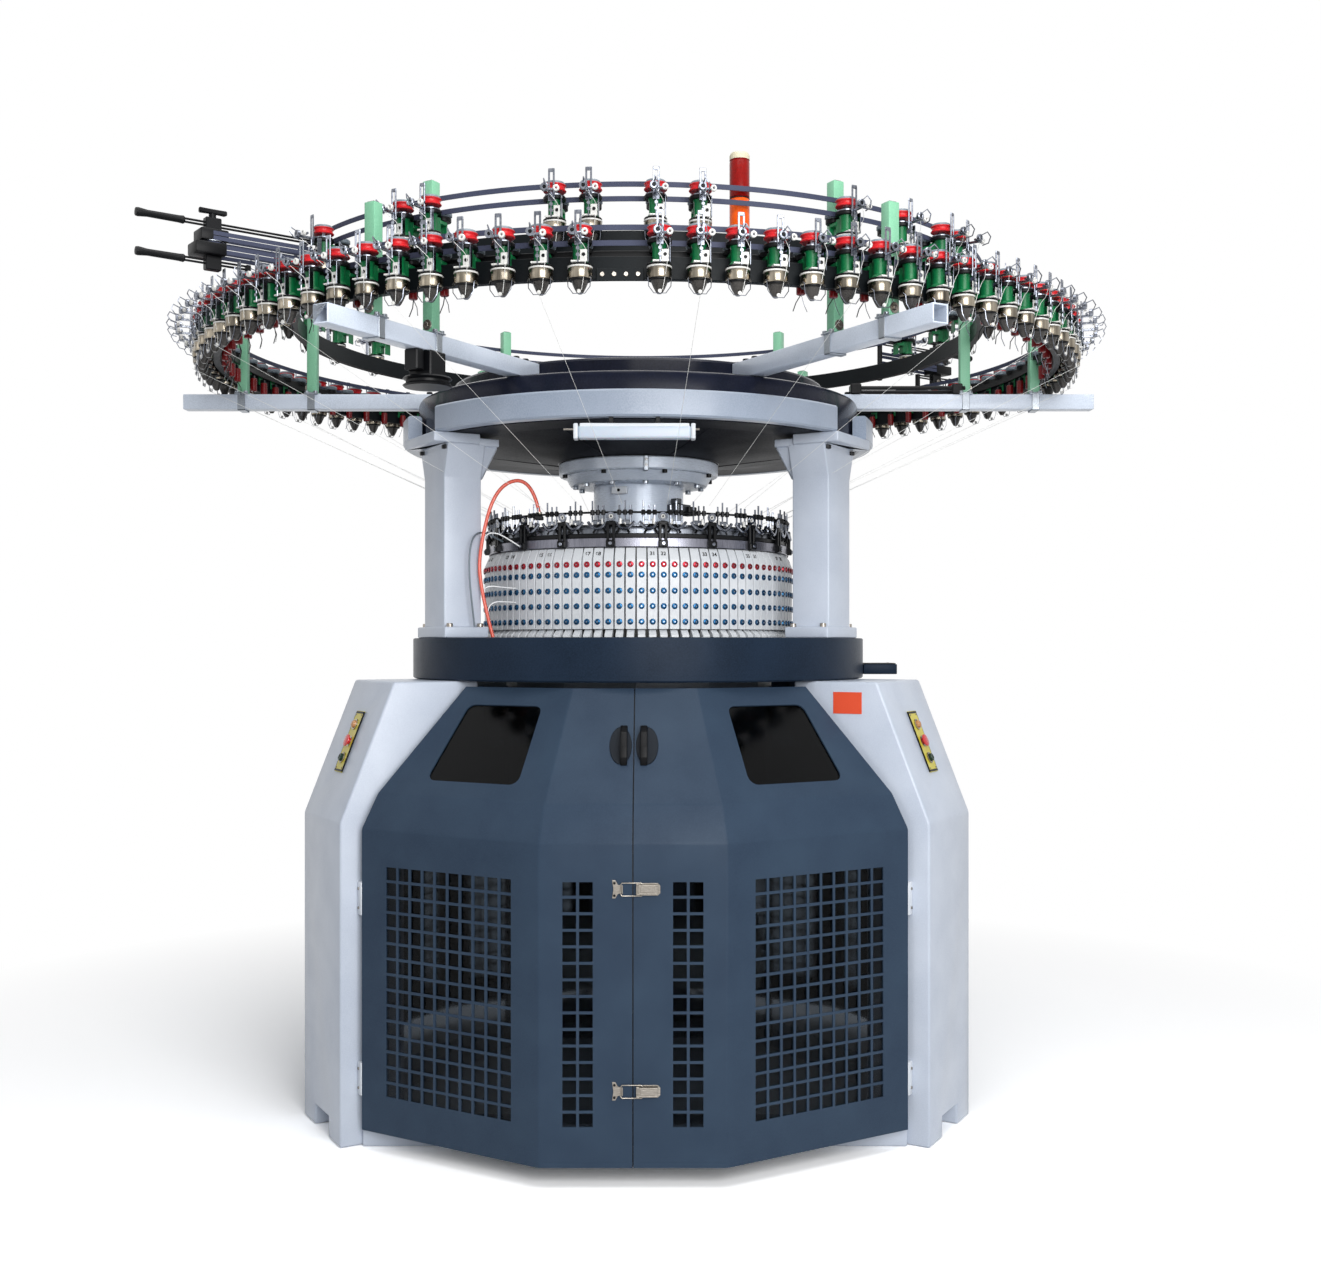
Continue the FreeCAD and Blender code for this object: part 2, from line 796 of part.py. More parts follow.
def make_work_lamp():
    """The lamp and the two clips that it hangs from."""
    middle = beam_inner_radius + beam_depth / 2
    top = column_top - work_lamp_drop
    half = work_lamp_depth / 2
    tube = block(middle - half, middle + half, work_lamp_length, top - work_lamp_height, top)
    clips = []
    for side in (-1, 1):
        half = work_lamp_clip_depth / 2
        clip = block(middle - half, middle + half, work_lamp_clip_width, top, column_top - seat_gap)
        clip.translate(point(0, side * work_lamp_clip_spacing / 2, 0))
        clips.append(clip)
    return joined(tube, *clips)


# ---- knitting head ---------------------------------------------------------------------------
def make_cam_boxes():
    def half_width(radius):
        return math.pi * radius / cam_box_count - cam_box_gap / 2

    inner = half_width(cam_box_inner_radius)
    outer = half_width(cam_box_outer_radius)
    box = slab(
        [
            (cam_box_inner_radius, -inner), (cam_box_outer_radius, -outer),
            (cam_box_outer_radius, outer), (cam_box_inner_radius, inner),
        ],
        bed_top, cam_box_top,
    )
    return [turned_to(box, 360.0 * step / cam_box_count) for step in range(cam_box_count)]


def make_dial():
    disc = round_slab(head_sides, dial_radius, dial_bottom, dial_bottom + dial_thickness)
    shaft = round_slab(roller_sides, dial_shaft_radius, dial_bottom + dial_thickness, hub_bottom - seat_gap)
    return joined(disc, shaft)


def make_guide_ring():
    """The yarn-guide ring on its short posts, the flat ring below it and the hose fitting on it."""
    ring = slab(
        regular(head_sides, guide_ring_radius), guide_ring_bottom, guide_ring_bottom + guide_ring_thickness,
        [regular(head_sides, guide_ring_radius - guide_ring_width)],
    )
    flat = (guide_ring_radius - guide_ring_width / 2) * math.cos(math.radians(180.0 / head_sides))
    half = guide_post_depth / 2
    post = block(flat - half, flat + half, guide_post_width, top_ring_top, guide_ring_bottom)
    pitch = 360.0 / guide_post_count
    first = pitch / 2 - 180.0 / head_sides
    posts = [turned_to(post, first + pitch * step) for step in range(guide_post_count)]
    top_ring = round_slab(
        head_sides, top_ring_outer_radius, cam_box_top, top_ring_top, bore=top_ring_inner_radius,
    )
    end_x, end_y, end_z = hose_points[-1]
    fitting_bottom = guide_ring_bottom + guide_ring_thickness
    fitting = round_slab(6, hose_fitting_radius, fitting_bottom, end_z - hose_end_gap, (end_x, end_y))
    return [ring, top_ring, fitting, *posts]


def make_takedown_frame():
    ring_bottom = gear_bottom - takedown_ring_height
    ring = slab(
        regular(takedown_sides, takedown_ring_outer_radius), ring_bottom, gear_bottom,
        [regular(takedown_sides, takedown_ring_inner_radius)],
    )
    plate = block(
        takedown_reach - takedown_plate_thickness, takedown_reach, takedown_plate_width,
        takedown_foot - cross_bar_height, ring_bottom + takedown_ring_height / 4,
    )
    bar = Part.makeBox(
        2 * takedown_reach, takedown_plate_width, cross_bar_height,
        point(-takedown_reach, -takedown_plate_width / 2, takedown_foot - cross_bar_height),
    )
    return joined(ring, plate, turned_to(plate, 180.0), bar)


def make_roller(radius, height, offset):
    """A roller along X between the two side plates."""
    length = 2 * (takedown_reach - takedown_plate_thickness - seat_gap)
    outline = [point(-length / 2, offset + y, height + z) for y, z in regular(roller_sides, radius)]
    return extruded(outline, point(length, 0, 0))


def make_pinion():
    low = gear_bottom + clearance
    wheel = round_slab(roller_sides, pinion_radius, low, low + pinion_height)
    shaft = round_slab(roller_sides, pinion_shaft_radius, bed_bottom - motor_gap, low)
    pinion = joined(wheel, shaft)
    pinion.translate(point(pinion_reach(), 0, 0))
    return pinion


def make_motor():
    """The geared motor under the bed and the bolting plate that holds it there."""
    top = bed_bottom - motor_gap - seat_gap
    body = round_slab(roller_sides, motor_radius, top - motor_height, top)
    ear = Part.makeBox(
        2 * motor_radius, motor_ear_depth, bed_bottom - top + motor_ear_height,
        point(-motor_radius, motor_radius - motor_ear_overlap, top - motor_ear_height),
    )
    motor = joined(body, ear)
    motor.translate(point(pinion_reach(), 0, 0))
    return motor


# ---- yarn ring -------------------------------------------------------------------------------
def make_arm():
    outer = [
        point(drum_rim_radius + clearance, y, z)
        for y, z in (
            (-arm_size / 2, arm_bottom), (arm_size / 2, arm_bottom), (arm_size / 2, arm_top), (-arm_size / 2, arm_top),
        )
    ]
    inside = [
        point(outer[0].x, corner.y * (1 - 2 * arm_wall / arm_size), (arm_bottom + arm_top) / 2 + lift)
        for corner, lift in zip(outer, (
            -arm_size / 2 + arm_wall, -arm_size / 2 + arm_wall, arm_size / 2 - arm_wall, arm_size / 2 - arm_wall,
        ))
    ]
    return extruded(outer, point(arm_end_reach - outer[0].x, 0, 0), [inside])


def make_post(reach, top):
    """A square post on an arm, which a ring bar is clamped to."""
    return block(reach - post_size / 2, reach + post_size / 2, post_size, arm_top, top)


def make_ring_bar(sides, phase, inner, bottom):
    return slab(
        flat_sided(sides, inner + ring_bar_depth, phase), bottom, bottom + ring_bar_height,
        [flat_sided(sides, inner, phase)],
    )


def make_feeder(seat, base):
    """One feeder: yarn cup, wheel and the guide arm that reaches outwards."""
    def ring(inner, outer, width):
        return [(inner, -width / 2), (outer, -width / 2), (outer, width / 2), (inner, width / 2)]

    return stacked([
        (base, ring(seat, seat + feeder_cup_reach, feeder_cup_width)),
        (base + feeder_wheel_lift, ring(seat, seat + feeder_wheel_width, feeder_wheel_width)),
        (base + feeder_height, ring(seat, seat + feeder_arm_reach, feeder_arm_width)),
    ])


def on_flat(shape, azimuth, sides, phase, flat_radius):
    """A shape drawn along +X, set on the flat of a many-sided ring that is nearest to an azimuth."""
    step = 360.0 / sides
    flat_azimuth = phase + step * round((azimuth - phase) / step)
    copy = shape.copy()
    copy.translate(point(0, flat_radius * math.tan(math.radians(azimuth - flat_azimuth)), 0))
    return turned_to(copy, flat_azimuth)


def outer_phase():
    return outer_splice_azimuth + 90.0 / outer_sides


def outer_feeder_azimuths():
    """Two feeders to each flat, less the one at the splice."""
    pitch = 180.0 / outer_sides
    return [outer_splice_azimuth + pitch * step for step in range(1, 2 * outer_sides)]


def make_feeders(azimuths, sides, phase, inner, base):
    seat = inner + ring_bar_depth + seat_gap
    feeder = make_feeder(seat, base)
    return [on_flat(feeder, azimuth, sides, phase, seat) for azimuth in azimuths]


def make_belt(sides, phase, inner, base):
    outer = inner + ring_bar_depth
    return slab(
        flat_sided(sides, outer, phase), base + belt_lift, base + belt_lift + belt_height,
        [flat_sided(sides, outer - belt_thickness, phase)],
    )


# ---- tensioners ------------------------------------------------------------------------------
def tensioner_rail(height, start, foot):
    """A rail with its handle, and the upright that stands it on a ring bar."""
    half = tensioner_rail_size / 2
    rail = block(start, tensioner_handle_start, tensioner_rail_size, height - half, height + half)
    upright = block(start, start + tensioner_upright_depth, tensioner_rail_size, foot, height)
    half = tensioner_handle_size / 2
    handle_end = tensioner_handle_start + tensioner_handle_length
    handle = block(tensioner_handle_start, handle_end, tensioner_handle_size, height - half, height + half)
    return joined(rail, upright, handle)


def make_tensioner_rails():
    """Two rails, one on the outer ring bar and one beside the inner bar, that the block slides on."""
    low, high = tensioner_heights
    inner_bar_corner = (inner_ring_inner + ring_bar_depth) / math.cos(math.radians(180.0 / inner_sides))
    outer_bar_corner = outer_ring_inner / math.cos(math.radians(180.0 / outer_sides))
    return [
        tensioner_rail(low, outer_bar_corner, outer_ring_bottom + ring_bar_height + seat_gap),
        tensioner_rail(high, inner_bar_corner + seat_gap, inner_ring_bottom + seat_gap),
    ]


def make_tensioner_block():
    low, high = tensioner_heights
    body = block(
        tensioner_block_reach, tensioner_block_reach + tensioner_block_length, tensioner_block_width,
        low - tensioner_block_border, high + tensioner_block_border,
    )
    half = tensioner_rail_size / 2 + seat_gap
    start = tensioner_block_reach - 1
    for height in (low, high):
        body = body.cut(block(start, tensioner_handle_start, 2 * half, height - half, height + half))
    return body


# ---- signal lamp, hose and buttons ------------------------------------------------------------
def make_signal_lamp():
    reach = -signal_lamp_radius - seat_gap
    bottom = signal_lamp_bottom
    sections = []
    for height in signal_lamp_sections:
        section = round_slab(
            signal_lamp_sides, signal_lamp_radius, bottom, bottom + height, (inner_ring_inner + reach, 0.0),
        )
        sections.append(on_flat(section, signal_lamp_azimuth, inner_sides, inner_side_phase, inner_ring_inner))
        bottom += height
    return sections


def hose_path():
    """Straight runs joined by arcs that are as large as the runs allow."""
    route = [point(*place) for place in hose_points]
    edges = []
    last = route[0]
    for before, corner, after in zip(route, route[1:], route[2:]):
        back = (before - corner).normalize()
        ahead = (after - corner).normalize()
        turn = math.pi - back.getAngle(ahead)
        tangent = hose_bend_share * min((before - corner).Length, (after - corner).Length)
        radius = tangent / math.tan(turn / 2)
        start = corner + back * tangent
        end = corner + ahead * tangent
        to_centre = (back + ahead).normalize()
        middle = corner + to_centre * (radius / math.cos(turn / 2) - radius)
        edges.append(Part.LineSegment(last, start).toShape())
        edges.append(Part.Arc(start, middle, end).toShape())
        print(f"hose bend radius {radius:.0f}")
        last = end
    edges.append(Part.LineSegment(last, route[-1]).toShape())
    return Part.Wire(edges)


def make_hose():
    path = hose_path()
    start = point(*hose_points[0])
    direction = (point(*hose_points[1]) - start).normalize()
    side = direction.cross(point(0, 0, 1)).normalize()
    other = direction.cross(side)
    corners = [
        start + side * (hose_diameter / 2 * math.cos(a)) + other * (hose_diameter / 2 * math.sin(a))
        for a in [math.radians(360.0 * step / hose_sides) for step in range(hose_sides)]
    ]
    sweep = path.makePipeShell([wire_through(corners)], True, False)
    section = hose_sides / 2 * (hose_diameter / 2) ** 2 * math.sin(2 * math.pi / hose_sides)
    print(f"hose volume over length times section {sweep.Volume / (path.Length * section):.3f}")
    return sweep


def button_outline(radius):
    return regular(8, radius, 22.5)


def make_button_plate():
    half_width = button_plate_width / 2
    half_length = button_plate_length / 2
    holes = [
        [point(x, y + offset, seat_gap) for x, y in button_outline(button_radius + seat_gap)]
        for offset in (-button_pitch, 0.0, button_pitch)
    ]
    outline = [
        point(-half_width, -half_length, seat_gap), point(half_width, -half_length, seat_gap),
        point(half_width, half_length, seat_gap), point(-half_width, half_length, seat_gap),
    ]
    plate = extruded(outline, point(0, 0, button_plate_thickness), holes)
    return put(plate, leg_face_frame(button_plate_slope_height))


def make_button(offset, head_radius):
    foot = seat_gap + button_plate_thickness - button_stem
    top = seat_gap + button_plate_thickness + button_height
    button = slab(button_outline(button_radius), foot, top)
    if head_radius > button_radius:
        button = joined(button, slab(button_outline(head_radius), top - button_height / 2, top))
    button.translate(point(0, offset, 0))
    return put(button, leg_face_frame(button_plate_slope_height))


# ---- build -----------------------------------------------------------------------------------
def build_base():
    for name, azimuth in leg_azimuths.items():
        export(f"leg_{name}", turned_to(make_leg(name != "rear"), azimuth))
    export("floor_tie_beams", *make_tie_beams())
    door = make_door()
    pane = make_window_pane()
    handle = make_handle()
    leaves = {"right": lambda shape: shape, "left": mirrored}
    for side, handed in leaves.items():
        export(f"door_{side}", turned_to(handed(door), front_azimuth))
        export(f"door_window_{side}", turned_to(handed(pane), front_azimuth))
        export(f"door_handle_{side}", turned_to(handed(handle), front_azimuth))
    guard = make_guard()
    panes = (pane, mirrored(pane))
    for name, azimuth in bay_azimuths.items():
        export(f"guard_{name}", *[turned_to(shape, azimuth) for shape in (guard, *make_guard_strips())])
    export("guard_windows", *[turned_to(shape, azimuth) for azimuth in bay_azimuths.values() for shape in panes])
    blocks = door_hinge_blocks()
    right = [turned_to(shape, leg_azimuths["front_right"]) for shape in blocks]
    left = [turned_to(mirrored(shape), leg_azimuths["front_left"]) for shape in blocks]
    export("door_hinges", *right, *left)


def build_latches():
    export("latch_bases", *[turned_to(make_latch_base(height), front_azimuth) for height in latch_heights])
    export("latch_keepers", *[turned_to(make_latch_keeper(height), front_azimuth) for height in latch_heights])
    for name, height in zip(("lower", "upper"), latch_heights):
        export(f"latch_lever_{name}", turned_to(make_latch_lever(height), front_azimuth))
        export(f"latch_loop_{name}", turned_to(make_latch_loop(height), front_azimuth))


def build_controls():
    for side in ("left", "right"):
        azimuth = leg_azimuths[f"front_{side}"]
        export(f"button_plate_{side}", turned_to(make_button_plate(), azimuth))
        buttons = {"lamp": (button_pitch, button_radius), "stop": (0.0, mushroom_radius), "jog": (-button_pitch, button_radius)}
        for name, (offset, radius) in buttons.items():
            export(f"button_{name}_{side}", turned_to(make_button(offset, radius), azimuth))


def build_crown():
    export("bed_plate", make_bed())
    export("bed_junction_box", make_junction_box())
    column = make_column()
    for name, azimuth in leg_azimuths.items():
        export(f"column_{name}", turned_to(column, azimuth))
    beam = make_beam()
    export("crown_beams", *[turned_to(beam, azimuth) for azimuth in (front_azimuth, *bay_azimuths.values())])
    export("top_drum", make_drum())
    export("dial_support", make_dial_support())
    export("work_lamp", turned_to(make_work_lamp(), front_azimuth))


def build_head():
    export("cam_boxes", *make_cam_boxes())
    export("needle_cylinder", round_slab(
        head_sides, cylinder_radius, cylinder_foot, cylinder_top, bore=cylinder_radius - cylinder_wall,
    ))
    export("cylinder_gear", round_slab(
        head_sides, gear_radius, gear_bottom, cylinder_foot, bore=cylinder_radius - cylinder_wall,
    ))
    export("dial", make_dial())
    export("dial_cap", round_slab(
        head_sides, dial_cap_radius, dial_cap_bottom, dial_cap_top, bore=neck_bore_radius,
    ))
    export("yarn_guide_ring", *make_guide_ring())


def build_takedown():
    export("takedown_frame", make_takedown_frame())
    offset = draw_roller_radius + draw_roller_nip / 2
    export("draw_roller_front", make_roller(draw_roller_radius, draw_roller_height, -offset))
    export("draw_roller_back", make_roller(draw_roller_radius, draw_roller_height, offset))
    export("cloth_roll", make_roller(cloth_roll_radius, cloth_roll_height, 0.0))
    export("drive_pinion", turned_to(make_pinion(), drive_azimuth))
    export("drive_motor", turned_to(make_motor(), drive_azimuth))


def build_yarn_ring():
    arm = make_arm()
    azimuths = [360.0 * step / arm_count for step in range(arm_count)]
    posts = [
        make_post(outer_post_reach, outer_post_top),
        make_post(inner_post_reach, inner_post_top),
    ]
    export("feeder_arms", *[turned_to(arm, azimuth) for azimuth in azimuths])
    export("ring_posts", *[turned_to(post, azimuth) for azimuth in azimuths for post in posts])
    tiers = {
        "outer": (outer_feeder_azimuths(), outer_tier_base, outer_ring_bottom),
        "inner": (inner_feeder_azimuths, inner_tier_base, inner_ring_bottom),
    }
    bars = []
    belts = []
    shapes = {
        "outer": (outer_sides, outer_phase(), outer_ring_inner),
        "inner": (inner_sides, inner_side_phase, inner_ring_inner),
    }
    for name, (places, base, ring_bottom) in tiers.items():
        export(f"{name}_feeders", *make_feeders(places, *shapes[name], base))
        bars.append(make_ring_bar(*shapes[name], ring_bottom))
        belts.append(make_belt(*shapes[name], base))
    export("ring_bars", *bars)
    export("feeder_belts", *belts)
    rails = make_tensioner_rails()
    export("tensioner_rails", *[turned_to(rail, azimuth) for azimuth in tensioner_azimuths.values() for rail in rails])
    for name, azimuth in tensioner_azimuths.items():
        export(f"tensioner_block_{name}", turned_to(make_tensioner_block(), azimuth))
    export("signal_lamp", *make_signal_lamp())


os.makedirs("parts", exist_ok=True)
build_base()
build_latches()
build_controls()
build_crown()
build_head()
build_takedown()
build_yarn_ring()
export("hose", make_hose())
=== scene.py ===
import math

import bmesh
import bpy
from mathutils import Matrix, Vector


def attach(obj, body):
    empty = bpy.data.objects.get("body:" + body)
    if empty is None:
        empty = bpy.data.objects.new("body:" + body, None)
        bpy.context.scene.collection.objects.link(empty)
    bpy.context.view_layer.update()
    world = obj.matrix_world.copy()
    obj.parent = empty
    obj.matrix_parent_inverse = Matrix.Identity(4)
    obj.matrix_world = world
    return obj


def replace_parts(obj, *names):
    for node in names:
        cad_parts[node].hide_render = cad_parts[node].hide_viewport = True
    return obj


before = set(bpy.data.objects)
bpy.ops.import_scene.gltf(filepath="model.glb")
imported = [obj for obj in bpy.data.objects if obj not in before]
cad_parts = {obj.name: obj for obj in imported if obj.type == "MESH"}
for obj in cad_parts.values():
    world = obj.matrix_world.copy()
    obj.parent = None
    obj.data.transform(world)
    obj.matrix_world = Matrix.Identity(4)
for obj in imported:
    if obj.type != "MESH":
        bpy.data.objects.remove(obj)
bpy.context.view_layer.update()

MM = 0.001
STILL = Matrix.Identity(4)
MIRROR = Matrix.Diagonal((1, -1, 1, 1))
UPSIDE = Matrix.Rotation(math.pi, 4, "X")
STANDING = Matrix.Rotation(math.pi / 2, 4, "X")
SIDEWAYS = Matrix.Rotation(math.pi / 2, 4, "Y")


def linked(name, data):
    """A new object in the scene."""
    item = bpy.data.objects.new(name, data)
    bpy.context.scene.collection.objects.link(item)
    return item


# ---- camera: the photograph's place, height and framing
camera_data = bpy.data.cameras.new("camera")
camera_data.lens = 39.64
camera_data.sensor_width = 36.0
camera_data.shift_y = 0.0043
camera_data.clip_end = 60.0
camera = linked("camera", camera_data)
camera.location = (0.0663, -4.4, 1.305)
camera.rotation_euler = (math.radians(90.0), 0.0, 0.0)
bpy.context.scene.camera = camera

# ---- sizes in millimetres and degrees, as in the part's source
# A reach is a distance from the machine's axis; an azimuth is an angle about it, with the front at -90.
front_azimuth = -90.0
leg_azimuths = {"front_left": -150.0, "front_right": -30.0, "rear": 90.0}
bay_azimuths = {"front": -90.0, "rear_left": 150.0, "rear_right": 30.0}
handed = {"right": STILL, "left": MIRROR}
bed_bottom = 1209.0
bed_top = 1327.0
bed_radius = 672.0
drive_azimuth, drive_reach = 150.0, 497.0
column_top = 1890.0
column_reach = 600.0
drum_radius = 655.0
drum_top = 2017.0
arm_top = drum_top + 45.0
hinge_heights = (180.0, 648.0)
hinge_half = 43.0
latch_heights = {"lower": 235.0, "upper": 720.0}
latch_reach = 906.3
pull_offset, pull_rise = 25.0, 170.0
plate_rise = 217.0
box_count = 96
box_reach = 462.0
clamp_count, clamp_azimuth, pin_azimuth = 20, -80.7, -71.7
cap_top = 1638.0
roller_end, roller_length = -387.7, 775.4
outer_base, outer_seat = 2064.0, 1230.6
inner_base, inner_seat = 2225.0, 1020.6
outer_azimuths = [-91.0 + 180.0 / 46 * step for step in range(1, 92)]
inner_azimuths = (
    -139.3, -122.0, -117.4, -99.8, -95.2, -87.0, -81.3, -60.8, -51.1, -41.9, -37.5,
    -178.0, -167.5, -158.0, 171.5, 160.5, 149.0, 30.5, 19.0, 9.5, -2.0, -12.5,
)
arm_azimuths = range(0, 360, 60)
pulley_azimuth, pulley_reach = -120.0, 1000.0
guide_azimuths, guide_reach = (-171.0, -9.0), 1262.0
splice_azimuth = -91.0
signal_azimuth, signal_reach = -74.9, 976.0
tensioner_azimuths = {"left": -143.0, "right": 37.0}

# The folded sheets, drawn for the bay that faces +X, so Y runs across it.
guard_reach = 906.0
guard_half_width = 227.0
guard_turn = math.radians(30.0)
guard_levels = ((906.0, 50.0), (906.0, 830.0), (868.0, 920.0), (655.0, 1195.0))
guard_thickness = 4.0
side_normal = Vector((math.cos(guard_turn), math.sin(guard_turn), 0))
side_run = Vector((-math.sin(guard_turn), math.cos(guard_turn), 0))
leg_edge = 190.0
hole = 33.0
mesh_foot = 148.0
mesh_rows, mesh_height = 15, 589.0
side_columns, side_width = 10, 393.0
strip_columns, strip_width, strip_offset = 2, 73.0, 133.0
window_low, window_high = 49.0, 290.0
window_half_low, window_half_high = 145.0, 118.0


# ---- colours
def srgb(code):
    """A hex colour as the linear values that Blender's sockets take."""
    channels = [int(code[place:place + 2], 16) / 255 for place in (1, 3, 5)]
    return (*[c / 12.92 if c <= 0.04045 else ((c + 0.055) / 1.055) ** 2.4 for c in channels], 1.0)


def add(tree, kind, sockets=None, **settings):
    """Adds a node, sets its settings, and fills its sockets with values or links."""
    node = tree.nodes.new(kind)
    for name, value in settings.items():
        setattr(node, name, value)
    for name, value in (sockets or {}).items():
        if isinstance(value, bpy.types.NodeSocket):
            tree.links.new(value, node.inputs[name])
        else:
            node.inputs[name].default_value = value
    return node


def combined(tree, operation, first, second):
    return add(tree, "ShaderNodeMath", {0: first, 1: second}, operation=operation).outputs[0]


def blended(tree, share, first, second):
    return add(tree, "ShaderNodeMix", {0: share, 6: first, 7: second}, data_type="RGBA").outputs[2]


def noise(tree, place, scale, detail):
    sockets = {"Vector": place, "Scale": scale, "Detail": detail}
    return add(tree, "ShaderNodeTexNoise", sockets).outputs[0]


def started(name):
    """An empty material with its tree, its shader and the object's own coordinates."""
    material = bpy.data.materials.new(name)
    material.use_nodes = True
    tree = material.node_tree
    tree.nodes.clear()
    shader = add(tree, "ShaderNodeBsdfPrincipled")
    add(tree, "ShaderNodeOutputMaterial", {"Surface": shader.outputs[0]})
    place = add(tree, "ShaderNodeTexCoord").outputs["Object"]
    return material, tree, shader, place


FINISHES = {}
SOCKETS = {
    "coat": "Coat Weight",
    "coat_roughness": "Coat Roughness",
    "specular": "Specular IOR Level",
    "subsurface": "Subsurface Weight",
}


def finish(key, slot, name, light, dark, roughness, grain, relief, metallic=0.0, stretch=(1, 1, 1), **own):
    """A finish whose colour, gloss and relief follow a noise; grain and relief are in millimetres."""
    material, tree, shader, place = started(name)
    spread = 0.06
    mapped = add(tree, "ShaderNodeMapping", {"Vector": place, "Scale": stretch}).outputs[0]
    fine = noise(tree, mapped, 1 / (grain * MM), 3.0)
    both = combined(tree, "MULTIPLY", fine, noise(tree, place, 7.0, 4.0))
    share = add(tree, "ShaderNodeMapRange", {0: both, 1: 0.12, 2: 0.42}).outputs[0]
    low, high = max(roughness - spread, 0.03), roughness + spread
    gloss = add(tree, "ShaderNodeMapRange", {0: both, 1: 0.12, 2: 0.42, 3: low, 4: high}).outputs[0]
    bump = add(tree, "ShaderNodeBump", {"Height": fine, "Strength": 0.35, "Distance": relief * MM}).outputs[0]
    tree.links.new(blended(tree, share, srgb(light), srgb(dark)), shader.inputs["Base Color"])
    tree.links.new(gloss, shader.inputs["Roughness"])
    tree.links.new(bump, shader.inputs["Normal"])
    shader.inputs["Metallic"].default_value = metallic
    for setting, value in own.items():
        shader.inputs[SOCKETS[setting]].default_value = value
    FINISHES[key] = (material, slot)


# Powder coat on folded steel: a faint orange peel of 2 mm and a soft sheen.
finish("leg_coat", "painted_frame", "powder_coat_pale_blue_grey", "#c3cbd8", "#b2bbca", 0.36, 2.0, 0.05,
       coat=0.15, coat_roughness=0.2)
finish("door_coat", "painted_guard", "powder_coat_slate", "#344456", "#2a384a", 0.4, 2.0, 0.05, specular=0.12)
# Enamel on castings, tube and flat bar: smooth, with a soft reflection of the room.
# The crown beams' coat is the frame's paint made darker: partly its own tone, partly painted shade.
finish("column_coat", "painted_frame", "frame_enamel_partly_painted_shade", "#a2adbe", "#8f9bad", 0.34, 3.0, 0.06,
       coat=0.2, coat_roughness=0.2)
# The arms' grey is lightened past the enamel's own: painted light against the shade of the feeders above
# them.
finish("arm_coat", "arm_paint", "grey_enamel_on_tube_painted_light", "#dbe4f2", "#c5cfdd", 0.32, 3.0, 0.04,
       coat=0.2, coat_roughness=0.2)
finish("post_coat", "post_paint", "pale_green_enamel_on_tube", "#8ccaa6", "#74b490", 0.42, 2.5, 0.04)
finish("ring_coat", "ring_steel", "black_green_enamel_on_flat_bar", "#12171a", "#0b0e11", 0.42, 3.0, 0.04,
       specular=0.1)
finish("bed_coat", "bed_paint", "satin_enamel_blue_black", "#202d3e", "#182331", 0.36, 4.0, 0.04,
       specular=0.06)
finish("drum_coat", "drum_paint", "gloss_enamel_black", "#1c2030", "#131622", 0.2, 5.0, 0.04, specular=0.15)
# The drum's underside is a darker copy of the drum's paint, painted shade, with a satin gloss.
finish("drum_under", "drum_paint", "satin_enamel_blue_black_painted_shade", "#171922", "#0f1117", 0.5, 5.0,
       0.04, specular=0.06)
finish("hinge_white", "white_metal", "white_enamel_on_hinge", "#dfe3e8", "#cdd2d9", 0.35, 1.5, 0.03)
finish("motor_coat", "motor_grey", "hammered_enamel_grey", "#727a84", "#5f666f", 0.4, 3.0, 0.15)
# Turned and ground steel; the white one is lacquered, with a fine vertical grind drawn at 1.5 mm to show.
# The hub's blue-grey is lightened past the steel's own: painted light for the neck in the shade of the drum.
finish("hub_steel", "cast_grey", "turned_steel_painted_light_blue_grey", "#dde6f3", "#c6d1e1", 0.3, 1.5, 0.03, 0.1,
       (0.1, 0.1, 1))
finish("cam_steel", "cam_steel", "ground_steel_white_lacquer", "#e2e5e8", "#cdd1d6", 0.34, 1.5, 0.02, 0.0,
       (1, 1, 0.1))
finish("band_steel", "cam_steel", "ground_steel_band", "#8d8d97", "#63646e", 0.3, 1.8, 0.05, 0.85,
       (1, 1, 0.06))
finish("needle_steel", "needle_steel", "hardened_tool_steel", "#84888f", "#5a5e66", 0.3, 1.5, 0.02, 1.0,
       (1, 1, 0.08))
# Chrome, nickel and stainless: bright, with drawing marks; their darker shades are a painted reflection of a
# deep workshop around them, so the edges still read against a white room. The nickel's 9 mm bands down the
# drum are painted reflections.
finish("chrome", "bright_steel", "chrome_plate", "#989ca6", "#585c65", 0.22, 5.0, 0.01, 1.0)
finish("nickel", "bright_steel", "nickel_plate_painted_reflection_bands", "#b3a998", "#4a453d", 0.24, 9.0, 0.01, 1.0,
       (1, 1, 0.05))
finish("stainless", "bright_steel", "brushed_stainless_steel", "#aaa49c", "#7d776f", 0.3, 1.5, 0.02, 1.0,
       (0.1, 1, 1))
finish("zinc", "plate_metal", "zinc_plated_steel", "#b0b6bd", "#8b929b", 0.32, 2.2, 0.02, 0.9)
finish("iron", "gear_iron", "oiled_cast_iron", "#55585d", "#3f4246", 0.4, 2.0, 0.08, 0.8)
finish("black_steel", "black_plastic", "black_oxide_steel", "#111215", "#08090b", 0.36, 1.5, 0.03,
       specular=0.18)
